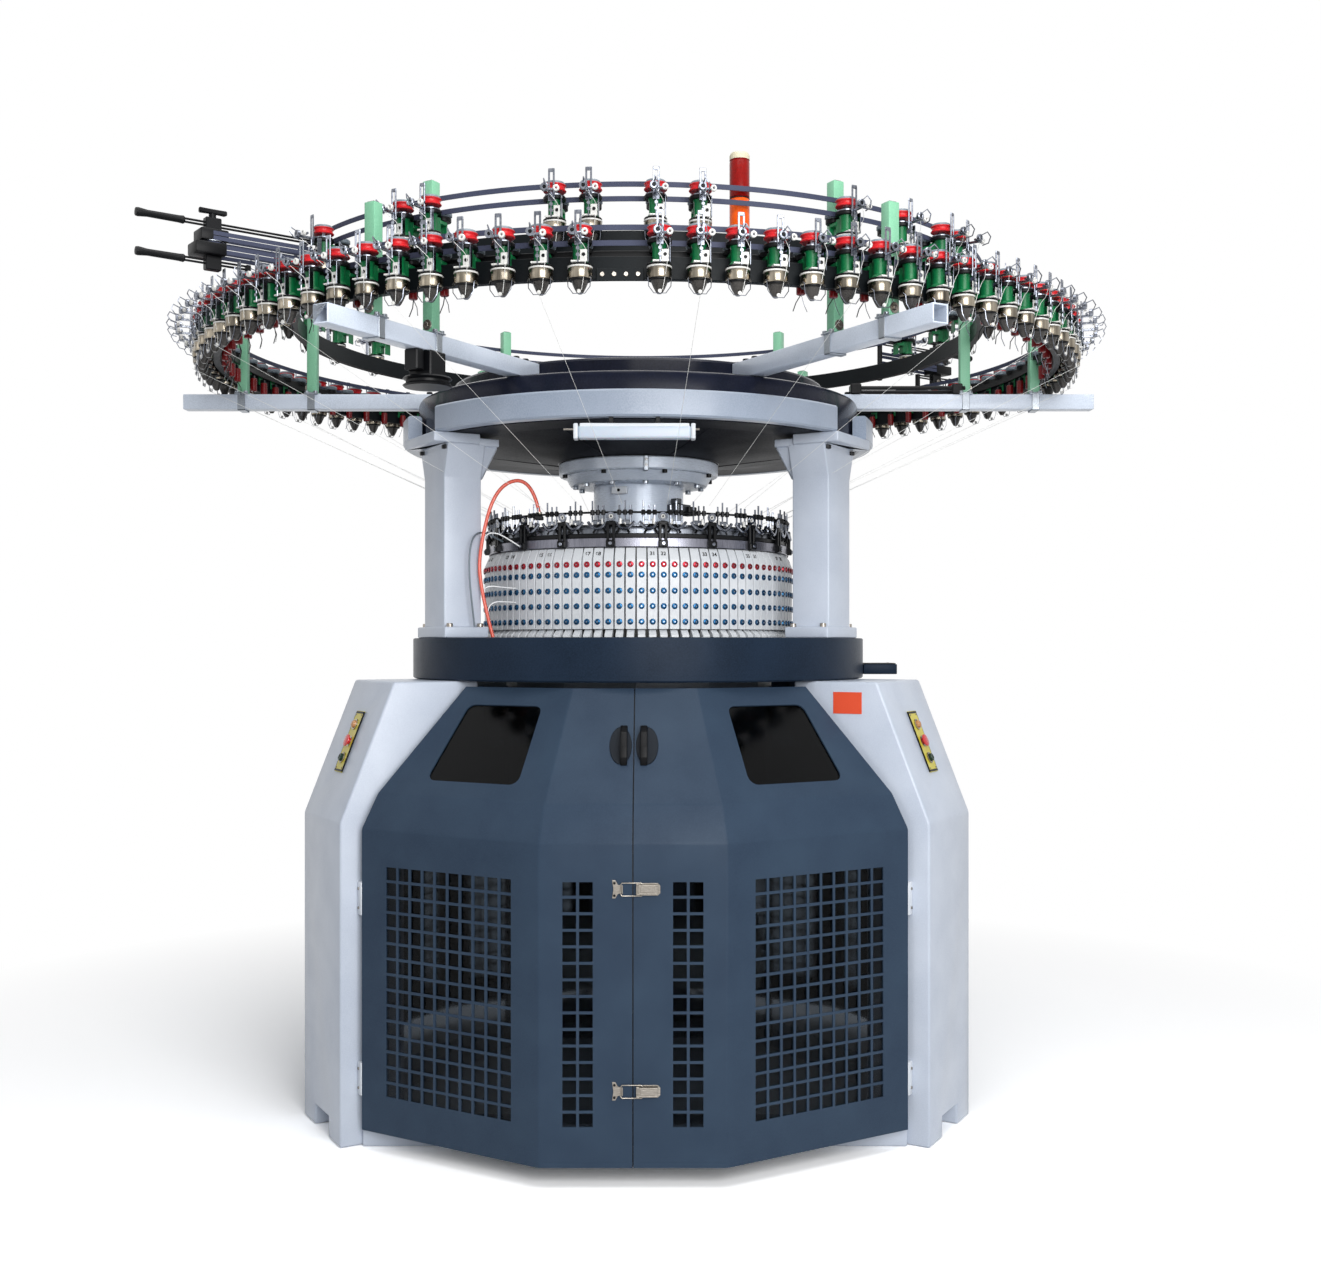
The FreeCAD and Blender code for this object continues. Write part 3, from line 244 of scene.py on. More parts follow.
# Moulded plastics: even colour, a fine spark-erosion texture.
finish("black_plastic", "black_plastic", "moulded_nylon_black", "#0d0e11", "#070809", 0.4, 0.8, 0.04,
       specular=0.15)
# The pull disc is painted shade: a dark slate disc for the shaded finger recess and the pull's shadow on the
# door.
finish("pull_recess", "black_plastic", "slate_disc_painted_recess_shade", "#151c25", "#0f141b", 0.5, 0.8, 0.04,
       specular=0.15)
finish("feeder_green", "feeder_green", "moulded_nylon_green", "#0f7a45", "#0a5a33", 0.34, 3.0, 0.03,
       specular=0.3)
finish("guide_green", "feeder_green", "moulded_nylon_bright_green", "#15a257", "#0f8747", 0.34, 3.0, 0.03,
       specular=0.3)
finish("feeder_red", "button_red", "moulded_acetal_red", "#df2a30", "#bd1d25", 0.32, 3.0, 0.02, specular=0.3)
finish("cap_grey", "cast_grey", "moulded_nylon_blue_grey", "#77838c", "#616c76", 0.4, 3.0, 0.03)
finish("cup", "black_plastic", "smoked_polycarbonate_cup", "#4a4744", "#1c1a19", 0.16, 3.0, 0.01,
       specular=0.35)
finish("button_red", "button_red", "moulded_cap_red", "#cf1f27", "#b3161e", 0.25, 1.0, 0.01, coat=0.3)
finish("button_green", "button_green", "moulded_cap_dark_green", "#1a3626", "#11261a", 0.25, 1.0, 0.01,
       specular=0.3)
finish("signal_cap", "lamp_white", "moulded_abs_cream", "#d8d1b6", "#c6bfa3", 0.4, 1.0, 0.02)
# Lenses and covers: smooth coloured plastic, lit by the room only.
finish("lamp_lens", "lamp_orange", "moulded_lens_amber", "#b87f49", "#9c6838", 0.15, 1.0, 0.01, coat=0.3)
finish("signal_amber", "lamp_orange", "polycarbonate_lens_amber", "#f4641c", "#e04e0c", 0.25, 6.0, 0.02,
       specular=0.2)
finish("signal_red", "lamp_red", "polycarbonate_lens_red", "#8f100b", "#6c0907", 0.25, 6.0, 0.02,
       specular=0.15)
finish("stop_lamp", "lamp_red", "polycarbonate_cover_dark_red", "#7d1418", "#560c10", 0.3, 4.0, 0.02,
       specular=0.3)
finish("diffuser", "lamp_white", "opal_acrylic_diffuser", "#c8d2df", "#bcc6d3", 0.3, 2.0, 0.01,
       subsurface=0.2)
# Glazed ceramic: hard, white and glossy where the yarn runs.
finish("ceramic", "white_metal", "glazed_alumina_ceramic", "#e9e8e4", "#cfceca", 0.16, 3.0, 0.01, coat=0.3)
# Anodised aluminium: a dyed metal whose colour shows in its reflections.
finish("dyed_red", "button_red", "anodised_aluminium_red", "#a8202f", "#7c1622", 0.22, 3.0, 0.01, 0.7)
finish("dyed_blue", "cam_steel", "anodised_aluminium_blue", "#175782", "#0f3f63", 0.22, 3.0, 0.01, 0.7)
# Printed plate and film: flat colour with hardly any relief.
finish("plate_yellow", "plate_metal", "screen_printed_plate_yellow", "#d2c53c", "#bfb22e", 0.35, 1.0, 0.01)
finish("plate_orange", "lamp_orange", "vinyl_film_orange", "#e4502a", "#d54420", 0.4, 1.0, 0.02)
# Rubberised belt: matt navy with a fabric weave of 1.2 mm. The rollers' rubber is ground.
finish("belt", "belt_navy", "rubberised_fabric_navy", "#474c61", "#363b4f", 0.6, 1.2, 0.08, specular=0.2)
finish("rubber", "roller_rubber", "ground_rubber_cover", "#3b3e43", "#2c2f33", 0.7, 1.5, 0.15)
# Extruded hose and spun yarn.
finish("hose_red", "hose_red", "extruded_polyurethane_coral", "#ee6a55", "#e05440", 0.25, 2.0, 0.01, coat=0.3)
finish("hose_white", "white_metal", "extruded_polyurethane_white", "#f0f1f2", "#e2e4e6", 0.25, 2.0, 0.01,
       coat=0.2)
finish("yarn", "cloth_white", "spun_cotton_yarn", "#f6f6f3", "#e9e9e5", 0.8, 0.6, 0.1)


def acrylic(name, tint, glare):
    """Smoked acrylic sheet with a film against glare: clear enough to see the take-down through it. Its dark
    tint also paints the shade inside the base.
    """
    material, tree, shader, place = started(name)
    smears = noise(tree, place, 9.0, 5.0)
    gloss = add(tree, "ShaderNodeMapRange", {0: smears, 3: 0.03, 4: 0.1}).outputs[0]
    tree.links.new(gloss, shader.inputs["Roughness"])
    shader.inputs["Base Color"].default_value = srgb(tint)
    shader.inputs["IOR"].default_value = 1.49
    shader.inputs["Specular Tint"].default_value = srgb(glare)
    shader.inputs["Transmission Weight"].default_value = 1.0
    return material, "clear_pane"


def knit_material():
    """Single jersey on the roll: rows of loops 3 mm apart, drawn coarser than the real 1 mm to show."""
    material, tree, shader, place = started("single_jersey_knit")
    turned = add(tree, "ShaderNodeMapping", {"Vector": place, "Rotation": (0, 0, math.pi / 2)}).outputs[0]
    wales = add(tree, "ShaderNodeTexWave", {"Vector": place, "Scale": 1 / (3 * MM) / 6.28}).outputs[0]
    rows = add(tree, "ShaderNodeTexWave", {"Vector": turned, "Scale": 1 / (4 * MM) / 6.28}).outputs[0]
    loops = combined(tree, "MULTIPLY", wales, rows)
    bump = add(tree, "ShaderNodeBump", {"Height": loops, "Strength": 0.6, "Distance": 0.6 * MM}).outputs[0]
    tree.links.new(blended(tree, loops, srgb("#dcdcd6"), srgb("#f3f3ee")), shader.inputs["Base Color"])
    tree.links.new(bump, shader.inputs["Normal"])
    shader.inputs["Roughness"].default_value = 0.85
    shader.inputs["Sheen Weight"].default_value = 0.3
    return material, "cloth_white"


# The window panes' dark tint is partly their own smoke, partly painted shade of the inside of the base.
FINISHES["pane"] = acrylic("smoked_acrylic_pane_and_painted_shade", "#30353a", "#3c4045")
# The screens behind the holes are painted shade: smoked sheets that darken the inside of the base.
FINISHES["screen"] = acrylic("smoked_sheet_painted_interior_shade", "#70767c", "#303030")
FINISHES["knit"] = knit_material()


# ---- places
def at(x=0.0, y=0.0, z=0.0):
    return Matrix.Translation((x, y, z))


def around(azimuth, reach=0.0, height=0.0, offset=0.0):
    """A place whose X points outwards at an azimuth."""
    return Matrix.Rotation(math.radians(azimuth), 4, "Z") @ at(reach, offset, height)


def evenly(count, start=0.0, reach=0.0, height=0.0):
    return [around(start + 360.0 * step / count, reach, height) for step in range(count)]


def on_face(origin, across, up):
    """A place whose X runs across a face, Y up it and Z out of it."""
    across, up = Vector(across).normalized(), Vector(up).normalized()
    turn = Matrix((across, up, across.cross(up))).transposed().to_4x4()
    return at(*origin) @ turn


def outward(x, y, z):
    """A place on an upright face that looks along X."""
    return on_face((x, y, z), (0, 1, 0), (0, 0, 1))


def polar(radius, azimuth, height=0.0):
    angle = math.radians(azimuth)
    return radius * math.cos(angle), radius * math.sin(angle), height


def twofold(points):
    """Points whose x and y come first, and back again mirrored in Y."""
    return points + [(x, -y, *height) for x, y, *height in reversed(points)]


FRONT = around(front_azimuth)


# ---- shapes: each is a small mesh in millimetres
def moved(shape, matrix):
    bmesh.ops.transform(shape, matrix=matrix, verts=shape.verts[:])
    return shape


def bevelled(shape, edges, width, segments):
    bmesh.ops.bevel(
        shape, geom=edges, offset=width, offset_type="OFFSET", segments=segments,
        profile=0.5, affect="EDGES", material=-1, clamp_overlap=True,
    )


def softened(shape, width, segments=1):
    """Rounds the edges of a shape that turn by more than 18 degrees."""
    if width:
        sharp = [edge for edge in shape.edges if edge.calc_face_angle(0.0) > math.radians(18.0)]
        bevelled(shape, sharp, width, segments)
    return shape


def box(low, high, soft=0.0, segments=1):
    shape = bmesh.new()
    bmesh.ops.create_cube(shape, size=1.0)
    size = Vector(high) - Vector(low)
    middle = (Vector(high) + Vector(low)) / 2
    return softened(moved(shape, at(*middle) @ Matrix.Diagonal((*size, 1.0))), soft, segments)


def tapered(low, high, bottom, top, soft=0.0):
    """A block whose rectangle (x, y, x, y) changes from its foot to its head."""
    shape = bmesh.new()
    bmesh.ops.create_cube(shape, size=1.0)
    for vert in shape.verts:
        left, front, right, back = high if vert.co.z > 0 else low
        x = right if vert.co.x > 0 else left
        y = back if vert.co.y > 0 else front
        vert.co = (x, y, top if vert.co.z > 0 else bottom)
    return softened(shape, soft)


def prism(outline, bottom, top, soft=0.0, segments=1):
    """An outline in plan, pushed up from one height to another."""
    shape = bmesh.new()
    face = shape.faces.new([shape.verts.new((x, y, bottom)) for x, y in outline])
    grown = bmesh.ops.extrude_face_region(shape, geom=[face], use_keep_orig=True)["geom"]
    raised = [item for item in grown if isinstance(item, bmesh.types.BMVert)]
    bmesh.ops.translate(shape, vec=(0, 0, top - bottom), verts=raised)
    bmesh.ops.recalc_face_normals(shape, faces=shape.faces[:])
    return softened(shape, soft, segments)


def spun(profile, sides, closed=False, arc=360.0, start=0.0):
    """A profile of (radius, height) turned round Z; a closed profile makes a ring."""
    shape = bmesh.new()
    verts = [shape.verts.new((radius, 0.0, height)) for radius, height in profile]
    pairs = list(zip(verts, verts[1:])) + ([(verts[-1], verts[0])] if closed else [])
    edges = [shape.edges.new(pair) for pair in pairs]
    bmesh.ops.spin(
        shape, geom=verts + edges, cent=(0, 0, 0), axis=(0, 0, 1), dvec=(0, 0, 0),
        angle=math.radians(arc), steps=sides, use_merge=arc == 360.0, use_duplicate=False,
    )
    bmesh.ops.remove_doubles(shape, verts=shape.verts[:], dist=0.001)
    if arc != 360.0:
        bmesh.ops.holes_fill(shape, edges=[edge for edge in shape.edges if edge.is_boundary], sides=0)
    bmesh.ops.recalc_face_normals(shape, faces=shape.faces[:])
    return moved(shape, around(start))


def ring(inner, outer, bottom, top, sides, soft=0.0, arc=360.0, start=0.0):
    """A flat ring with its four edges broken."""
    profile = [
        (inner + soft, bottom), (outer - soft, bottom), (outer, bottom + soft), (outer, top - soft),
        (outer - soft, top), (inner + soft, top), (inner, top - soft), (inner, bottom + soft),
    ] if soft else [(inner, bottom), (outer, bottom), (outer, top), (inner, top)]
    return spun(profile, sides, True, arc, start)


def disc(radius, bottom, top, sides, soft=0.0):
    """A solid round with broken edges."""
    return spun([
        (0, bottom), (radius - soft, bottom), (radius, bottom + soft),
        (radius, top - soft), (radius - soft, top), (0, top),
    ], sides)


def cone(radius, height, sides, middle):
    shape = bmesh.new()
    bmesh.ops.create_cone(
        shape, cap_ends=True, segments=sides, radius1=radius, radius2=radius, depth=height,
        matrix=at(0, 0, middle),
    )
    return shape


def rod(start, end, radius, sides=8, soft=0.0):
    """A round bar from one point to another."""
    axis = Vector(end) - Vector(start)
    length = axis.length
    shape = disc(radius, 0.0, length, sides, soft) if soft else cone(radius, length, sides, length / 2)
    return moved(shape, at(*start) @ axis.to_track_quat("Z", "Y").to_matrix().to_4x4())


def curve_through(name, points, radius, resolution, steps, kind="NURBS", closed=False):
    """A round curve through points, straight between them or smoothed."""
    curve = bpy.data.curves.new(name, "CURVE")
    curve.dimensions = "3D"
    curve.bevel_depth = radius
    curve.bevel_resolution = resolution
    curve.resolution_u = steps
    curve.use_fill_caps = not closed
    spline = curve.splines.new(kind)
    spline.points.add(len(points) - 1)
    for target, (x, y, z) in zip(spline.points, points):
        target.co = (x, y, z, 1.0)
    if kind == "NURBS":
        spline.order_u = 3
        spline.use_endpoint_u = not closed
    spline.use_cyclic_u = closed
    return curve


def meshed(curve):
    """The shape of a curve or a text, which is dropped afterwards."""
    holder = bpy.data.objects.new("curve", curve)
    data = bpy.data.meshes.new_from_object(holder)
    shape = bmesh.new()
    shape.from_mesh(data)
    bpy.data.objects.remove(holder)
    bpy.data.meshes.remove(data)
    bpy.data.curves.remove(curve)
    return shape


def wire(points, radius, resolution=0, kind="POLY", closed=False):
    """A round wire as a shape."""
    shape = meshed(curve_through("wire", points, radius, resolution, 5, kind, closed))
    bmesh.ops.remove_doubles(shape, verts=shape.verts[:], dist=0.001)
    bmesh.ops.recalc_face_normals(shape, faces=shape.faces[:])
    return shape


def hoop(radius, height, step, thickness):
    """A wire bent to a circle, with a corner every few degrees."""
    return wire([polar(radius, angle, height) for angle in range(0, 360, step)], thickness, 1, closed=True)


def refined(node, soft, segments=2):
    """A merged copy of a CAD node in millimetres, with its flat faces joined and its edges rounded."""
    shape = bmesh.new()
    shape.from_mesh(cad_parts[node].data)
    bmesh.ops.scale(shape, vec=(1 / MM, 1 / MM, 1 / MM), verts=shape.verts[:])
    bmesh.ops.remove_doubles(shape, verts=shape.verts[:], dist=0.01)
    bmesh.ops.dissolve_limit(
        shape, angle_limit=math.radians(1.0), use_dissolve_boundaries=False,
        verts=shape.verts[:], edges=shape.edges[:],
    )
    return softened(shape, soft, segments)


def hex_bolt(radius, height):
    """A six-sided head, 1 mm above Z = 0."""
    return softened(cone(radius, height, 6, height / 2 + 1), radius * 0.1)


def socket_bolt(radius, height):
    """A cap screw with a round socket, standing on Z = 0."""
    return spun([
        (0, height * 0.45), (radius * 0.5, height * 0.45), (radius * 0.5, height), (radius * 0.88, height),
        (radius, height * 0.88), (radius, 0), (0, 0),
    ], 12)


class Assembly:
    """Shapes that move together, gathered into one mesh for each finish."""

    def __init__(self, *rows):
        self.meshes = {}
        for row in rows:
            self.put(*row)

    def put(self, finish, shapes, places=STILL):
        """Pours a shape, or each of a list, in at one place or at several."""
        if finish not in self.meshes:
            self.meshes[finish] = bmesh.new()
        for shape in shapes if isinstance(shapes, list) else [shapes]:
            for place in [places] if isinstance(places, Matrix) else places:
                copied = bpy.data.meshes.new("copied")
                shape.to_mesh(copied)
                copied.transform(place)
                if place.determinant() < 0:
                    copied.flip_normals()
                self.meshes[finish].from_mesh(copied)
                bpy.data.meshes.remove(copied)
            shape.free()

    def stamp(self, other, places):
        """Pours in all of another assembly at each place."""
        for finish, mesh in other.meshes.items():
            self.put(finish, mesh, places)

    def hand_over(self, name, body="frame", is_node=True):
        """Makes the pieces: in metres, at the origin, riding on their body, in place of their CAD node."""
        for finish, mesh in self.meshes.items():
            material, slot = FINISHES[finish]
            data = bpy.data.meshes.new(f"{name}_{finish}")
            mesh.to_mesh(data)
            mesh.free()
            data.transform(Matrix.Scale(MM, 4))
            data.materials.append(material)
            data.shade_smooth()
            data.set_sharp_from_angle(angle=math.radians(32.0))
            piece = linked(f"{name}_{finish}", data)
            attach(piece, body)
            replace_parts(piece, *([name] if is_node else []))


def dressed(node, finish, soft, segments=2, body="frame"):
    """Hands over a CAD node's own shape with rounded edges."""
    Assembly((finish, refined(node, soft, segments))).hand_over(node, body)


# ---- cords, in metres
def cord(name, finish, diameter, points):
    """A cord from its first point to its last, lying loose."""
    piece = linked(name, curve_through(name, points, diameter / 2, 4, 16))
    material, slot = FINISHES[finish]
    piece.data.materials.append(material)
    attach(piece, "frame")
    return piece


# The red air hose, whose route is the one in the part's source.
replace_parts(cord("hose", "hose_red", 0.010, (
    (-0.400, -0.350, 1.3284), (-0.437, -0.354, 1.468), (-0.437, -0.354, 1.580),
    (-0.392, -0.350, 1.752), (-0.293, -0.346, 1.775), (-0.272, -0.347, 1.677),
)), "hose")
# Three thin white hoses branch off the red one, and a grey cable rises beside it to the band.
cord("branch_hose_low", "hose_white", 0.004, (
    (-0.416, -0.352, 1.388), (-0.414, -0.350, 1.412), (-0.398, -0.345, 1.427),
    (-0.372, -0.333, 1.428), (-0.3415, -0.312, 1.4265),
))
cord("branch_hose_middle", "hose_white", 0.004, (
    (-0.433, -0.352, 1.438), (-0.430, -0.350, 1.462), (-0.408, -0.344, 1.472),
    (-0.378, -0.335, 1.468), (-0.3415, -0.312, 1.466),
))
cord("branch_hose_high", "hose_white", 0.004, (
    (-0.430, -0.352, 1.590), (-0.424, -0.352, 1.612), (-0.398, -0.348, 1.622),
    (-0.362, -0.342, 1.606), (-0.318, -0.322, 1.576),
))
cord("grey_cable", "cap_grey", 0.005, (
    (-0.448, -0.374, 1.357), (-0.455, -0.380, 1.420), (-0.462, -0.385, 1.500), (-0.461, -0.385, 1.570),
    (-0.450, -0.370, 1.615), (-0.425, -0.310, 1.625), (-0.386, -0.228, 1.603),
))


# ---- base
def leg_face(azimuth, slope_height):
    """A place on the sloping outer face of a leg: X across it, Y up it and Z out of it."""
    reach, knee, top_reach = 976.5, 843.0, 830.0
    up = Vector((top_reach - reach, 0, bed_bottom - knee)).normalized()
    return around(azimuth) @ on_face(Vector((reach, 0, knee)) + up * slope_height, (0, 1, 0), up)


def make_legs():
    for name in leg_azimuths:
        dressed(f"leg_{name}", "leg_coat", 7.0, 3)
    dressed("floor_tie_beams", "leg_coat", 4.0)
    wall = around(leg_azimuths["front_right"]) @ on_face((747.0, -162.6, 1152.0), (1, 0, 0), (0, 0, 1))
    label = Assembly(("plate_orange", box((-41, -29, -0.4), (41, 29, 0.8), 0.4), wall))
    label.hand_over("label_plate", is_node=False)


def plan_points(reach, start):
    """The seam, the fold and the end beside the leg, at one level."""
    half = guard_half_width - (guard_reach - reach) * math.tan(guard_turn / 2)
    corner = Vector((reach, half))
    leg_side = Vector((-math.sin(2 * guard_turn), math.cos(2 * guard_turn)))
    run = side_run.to_2d()
    length = (-leg_edge - corner.dot(leg_side)) / run.dot(leg_side)
    return [Vector((reach, start)), corner, corner + run * length]


def facet_middle(level):
    """The middle of the side facet at one level."""
    corner, end = plan_points(guard_levels[level][0], 0.0)[1:]
    middle = (corner + end) / 2
    return Vector((middle.x, middle.y, guard_levels[level][1]))


def window_place():
    """A place at the foot of the window's facet."""
    low, high = facet_middle(2), facet_middle(3)
    up = (high - low) - side_run * (high - low).dot(side_run)
    middle = low + side_run * ((high - low).dot(side_run) / 2)
    return on_face(middle, side_run, up)


def window_outline(border, radius):
    """The rounded four-sided opening, with a border added all round."""
    low, high = window_low - border, window_high + border
    half_low, half_high = window_half_low + border, window_half_high + border
    corners = [Vector(corner) for corner in (
        (-half_low, low), (half_low, low), (half_high, high), (-half_high, high))]
    points = []
    for index, corner in enumerate(corners):
        back = (corners[index - 1] - corner).normalized()
        ahead = (corners[(index + 1) % 4] - corner).normalized()
        half = back.angle(ahead) / 2
        centre = corner + (back + ahead).normalized() * (radius / math.sin(half))
        first = corner + back * (radius / math.tan(half)) - centre
        last = corner + ahead * (radius / math.tan(half)) - centre
        for step in range(5):
            points.append(centre + first.normalized().slerp(last.normalized(), step / 4) * radius)
    return points


def cut_line(shape, faces, point, normal):
    """Cuts some faces along a plane."""
    edges = {edge for face in faces for edge in face.edges}
    verts = {vert for face in faces for vert in face.verts}
    bmesh.ops.bisect_plane(
        shape, geom=list(verts) + list(edges) + list(faces), plane_co=point, plane_no=normal, dist=0.01,
    )


def facing(shape, normal):
    return [face for face in shape.faces if face.normal.dot(normal) > 0.9995]


def pierce(shape, normal, run, middle, width, columns):
    """Cuts a panel of square holes in the faces that look along a normal."""
    across = (width - hole) / (columns - 1)
    upward = (mesh_height - hole) / (mesh_rows - 1)
    for column in range(columns):
        for edge in (0.0, hole):
            place = middle + run * (-width / 2 + across * column + edge)
            cut_line(shape, facing(shape, normal), place, run)
    for row in range(mesh_rows):
        for edge in (0.0, hole):
            height = mesh_foot + upward * row + edge
            cut_line(shape, facing(shape, normal), Vector((0, 0, height)), Vector((0, 0, 1)))
    gone = []
    for face in facing(shape, normal):
        centre = face.calc_center_median()
        sideways = (centre - middle).dot(run) + width / 2
        lift = centre.z - mesh_foot
        inside = 0 < sideways < width and 0 < lift < mesh_height
        if inside and sideways % across < hole and lift % upward < hole:
            gone.append(face)
    bmesh.ops.delete(shape, geom=gone, context="FACES")


def cut_window(shape):
    """Takes the window's opening out of the slanting facet."""
    place = window_place()
    slope = place.to_3x3() @ Vector((0, 0, 1))
    outline = [place @ Vector((*point, 0)) for point in window_outline(0.0, 24.0)]
    for before, after in zip(outline, outline[1:] + outline[:1]):
        if (after - before).length > 0.1:
            cut_line(shape, facing(shape, slope), before, (after - before).cross(slope))
    inverse = place.inverted()
    flat = [(inverse @ point).to_2d() for point in outline]
    gone = []
    for face in facing(shape, slope):
        centre = (inverse @ face.calc_center_median()).to_2d()
        sides = zip(flat, flat[1:] + flat[:1])
        if all((after - before).cross(centre - before) > -1e-6 for before, after in sides):
            gone.append(face)
    bmesh.ops.delete(shape, geom=gone, context="FACES")


def folded_leaf(start):
    """One leaf: a sheet folded over the knee and round the bay, pierced, windowed and given its thickness."""
    shape = bmesh.new()
    rows = [[Vector((*plan, height)) for plan in plan_points(reach, start)] for reach, height in guard_levels]
    line = [shape.verts.new(place) for place in rows[0]]
    edges = [shape.edges.new(pair) for pair in zip(line, line[1:])]
    for row in rows[1:]:
        grown = bmesh.ops.extrude_edge_only(shape, edges=edges)["geom"]
        edges = [item for item in grown if isinstance(item, bmesh.types.BMEdge)]
        raised = [item for item in grown if isinstance(item, bmesh.types.BMVert)]
        for vert, place in zip(sorted(raised, key=lambda vert: vert.co.y), row):
            vert.co = place
    for face in shape.faces:
        face.normal_update()
        if face.normal.x < 0:
            face.normal_flip()
    bevelled(shape, [edge for edge in shape.edges if len(edge.link_faces) == 2], 5.0, 2)
    shape.normal_update()
    strip_middle = Vector((guard_reach, strip_offset, 0))
    pierce(shape, Vector((1, 0, 0)), Vector((0, 1, 0)), strip_middle, strip_width, strip_columns)
    pierce(shape, side_normal, side_run, facet_middle(0), side_width, side_columns)
    cut_window(shape)
    bmesh.ops.solidify(shape, geom=shape.faces[:], thickness=guard_thickness)
    bmesh.ops.recalc_face_normals(shape, faces=shape.faces[:])
    return shape


def pane():
    return prism([tuple(point) for point in window_outline(9.0, 32.0)], -7.0, -4.3, 0.4)


def screens(places):
    """Rows for the thin smoked sheets behind the two panels of holes of a leaf; they paint the shade inside
    the base.
    """
    foot = facet_middle(0)
    foot.z = 0.0
    facet = on_face(foot, side_run, (0, 0, 1))
    low, high = mesh_foot - 8, mesh_foot + mesh_height + 8
    side_half, strip_half = side_width / 2 + 9, strip_width / 2 + 8
    back = guard_reach - guard_thickness
    side = box((-side_half, low, -7), (side_half, high, -5), 0.4)
    strip = box((back - 3, strip_offset - strip_half, low), (back - 1, strip_offset + strip_half, high), 0.4)
    return ("screen", side, [place @ facet for place in places]), ("screen", strip, places)


def edge_seal():
    """The rubber seal on a leaf's inner edge, following its folds up to the top."""
    outer = [(902, 52), (902, 830), (864, 920), (651, 1194)]
    inner = [(646, 1190), (858, 917), (896, 829), (896, 52)]
    return moved(prism(outer + inner, -6.0, -0.15), STANDING)


def make_doors():
    """The two front leaves with their seals, screens of painted shade, windows and pulls."""
    knee, top = guard_levels[2:]
    slope = Vector((top[0] - knee[0], 0, top[1] - knee[1])).normalized()
    grip = on_face(Vector((knee[0], pull_offset, knee[1])) + slope * pull_rise, (0, 1, 0), slope)
    oval = at(8) @ Matrix.Diagonal((0.5, 1, 1, 1))
    for side, hand in handed.items():
        turn = FRONT @ hand
        door = f"door_{side}"
        Assembly(
            ("door_coat", folded_leaf(1.5), turn),
            ("black_plastic", edge_seal(), turn),
            *screens([turn]),
        ).hand_over(door, door)
        Assembly(("pane", pane(), turn @ window_place())).hand_over(f"door_window_{side}", door)
        Assembly(
            ("black_plastic", refined(f"door_handle_{side}", 2.6, 3)),
            # Behind each pull, a flat dark disc paints the shade of its finger recess and its shadow on the
            # door.
            ("pull_recess", disc(56.0, 0.2, 2.4, 48, 1.6), turn @ grip @ oval),
        ).hand_over(f"door_handle_{side}", door)


def make_guards():
    """The two rear bays: fixed leaves with a strip of white metal where the doors have hinges."""
    low, high = hinge_heights[0] - hinge_half, hinge_heights[1] + hinge_half
    windows = []
    for name in ("rear_left", "rear_right"):
        azimuth = bay_azimuths[name]
        places = [around(azimuth) @ hand for hand in handed.values()]
        windows += [place @ window_place() for place in places]
        strips = [around(azimuth + 60.0), around(azimuth - 60.0) @ MIRROR]
        Assembly(
            ("door_coat", folded_leaf(0.0), places),
            *screens(places),
            ("hinge_white", box((896, -190, low), (930, -162.3, high), 2.0), strips),
        ).hand_over(f"guard_{name}")
    Assembly(("pane", pane(), windows)).hand_over("guard_windows")


def make_hinges():
    """Cast hinge blocks with their pins and two screws each."""
    hinges = Assembly()
    for side, hand in handed.items():
        place = around(leg_azimuths[f"front_{side}"]) @ hand
        for height in hinge_heights:
            low, high = height - hinge_half, height + hinge_half
            screws = [place @ outward(930.0, -172.0, height + lift) for lift in (-25.0, 25.0)]
            hinges.put("hinge_white", box((896, -189.2, low), (930, -162, high), 2.5, 2), place)
            hinges.put("stainless", rod((913, -184, low - 2), (913, -184, high + 2), 4.0, 12, 1.0), place)
            hinges.put("stainless", socket_bolt(4.0, 2.4), screws)
    hinges.hand_over("door_hinges")


def make_latches():
    """Draw latches: a waisted keeper, a wire loop, and a pressed lever on an eared base."""
    waisted = twofold([(-50, -22), (-42, -22), (-36, -11), (-24, -9)]) + [(-47, 0)]
    lip = twofold([(-27, -10), (-24, -10)])
    base = twofold([(8, -15), (60, -15), (66, -9)])
    route = twofold([(-29.5, -11, 5.1), (-26, -15.5, 5.1), (20, -15.5, 5.1), (24, -12, 5.1)])
    keepers, bases = Assembly(), Assembly()
    for name, height in latch_heights.items():
        place = FRONT @ outward(latch_reach, 0, height)
        keepers.put("stainless", [prism(waisted, 0.0, 2.2, 0.5), prism(lip, 2.0, 6.8, 0.6)], place)
        keepers.put("black_steel", socket_bolt(3.2, 1.8), [place @ at(-44.5, y, 2.2) for y in (-15, 15)])
        ears = [box((8, y - 1.0, 2.0), (16, y + 1.0, 12.5), 0.5) for y in (-12.3, 12.3)]
        bases.put("stainless", [prism(base, 0.0, 2.4, 0.5), *ears], place)
        Assembly(("stainless", [
            box((8, -11, 9.4), (60, 11, 10.8), 0.6),
            box((18, -6.5, 10.6), (52, 6.5, 11.8), 0.9),
            *[box((9, y - 0.8, 8.5), (59, y + 0.8, 12.5), 0.6) for y in (-10.2, 10.2)],
            rod((12, -14, 10.5), (12, 14, 10.5), 1.6, 8),
        ], place)).hand_over(f"latch_lever_{name}", f"lever_{name}")
        loop = Assembly(("stainless", wire(route, 1.5, 2, closed=True), place))
        loop.hand_over(f"latch_loop_{name}", f"loop_{name}")
    keepers.hand_over("latch_keepers", "door_left")
    bases.hand_over("latch_bases", "door_right")


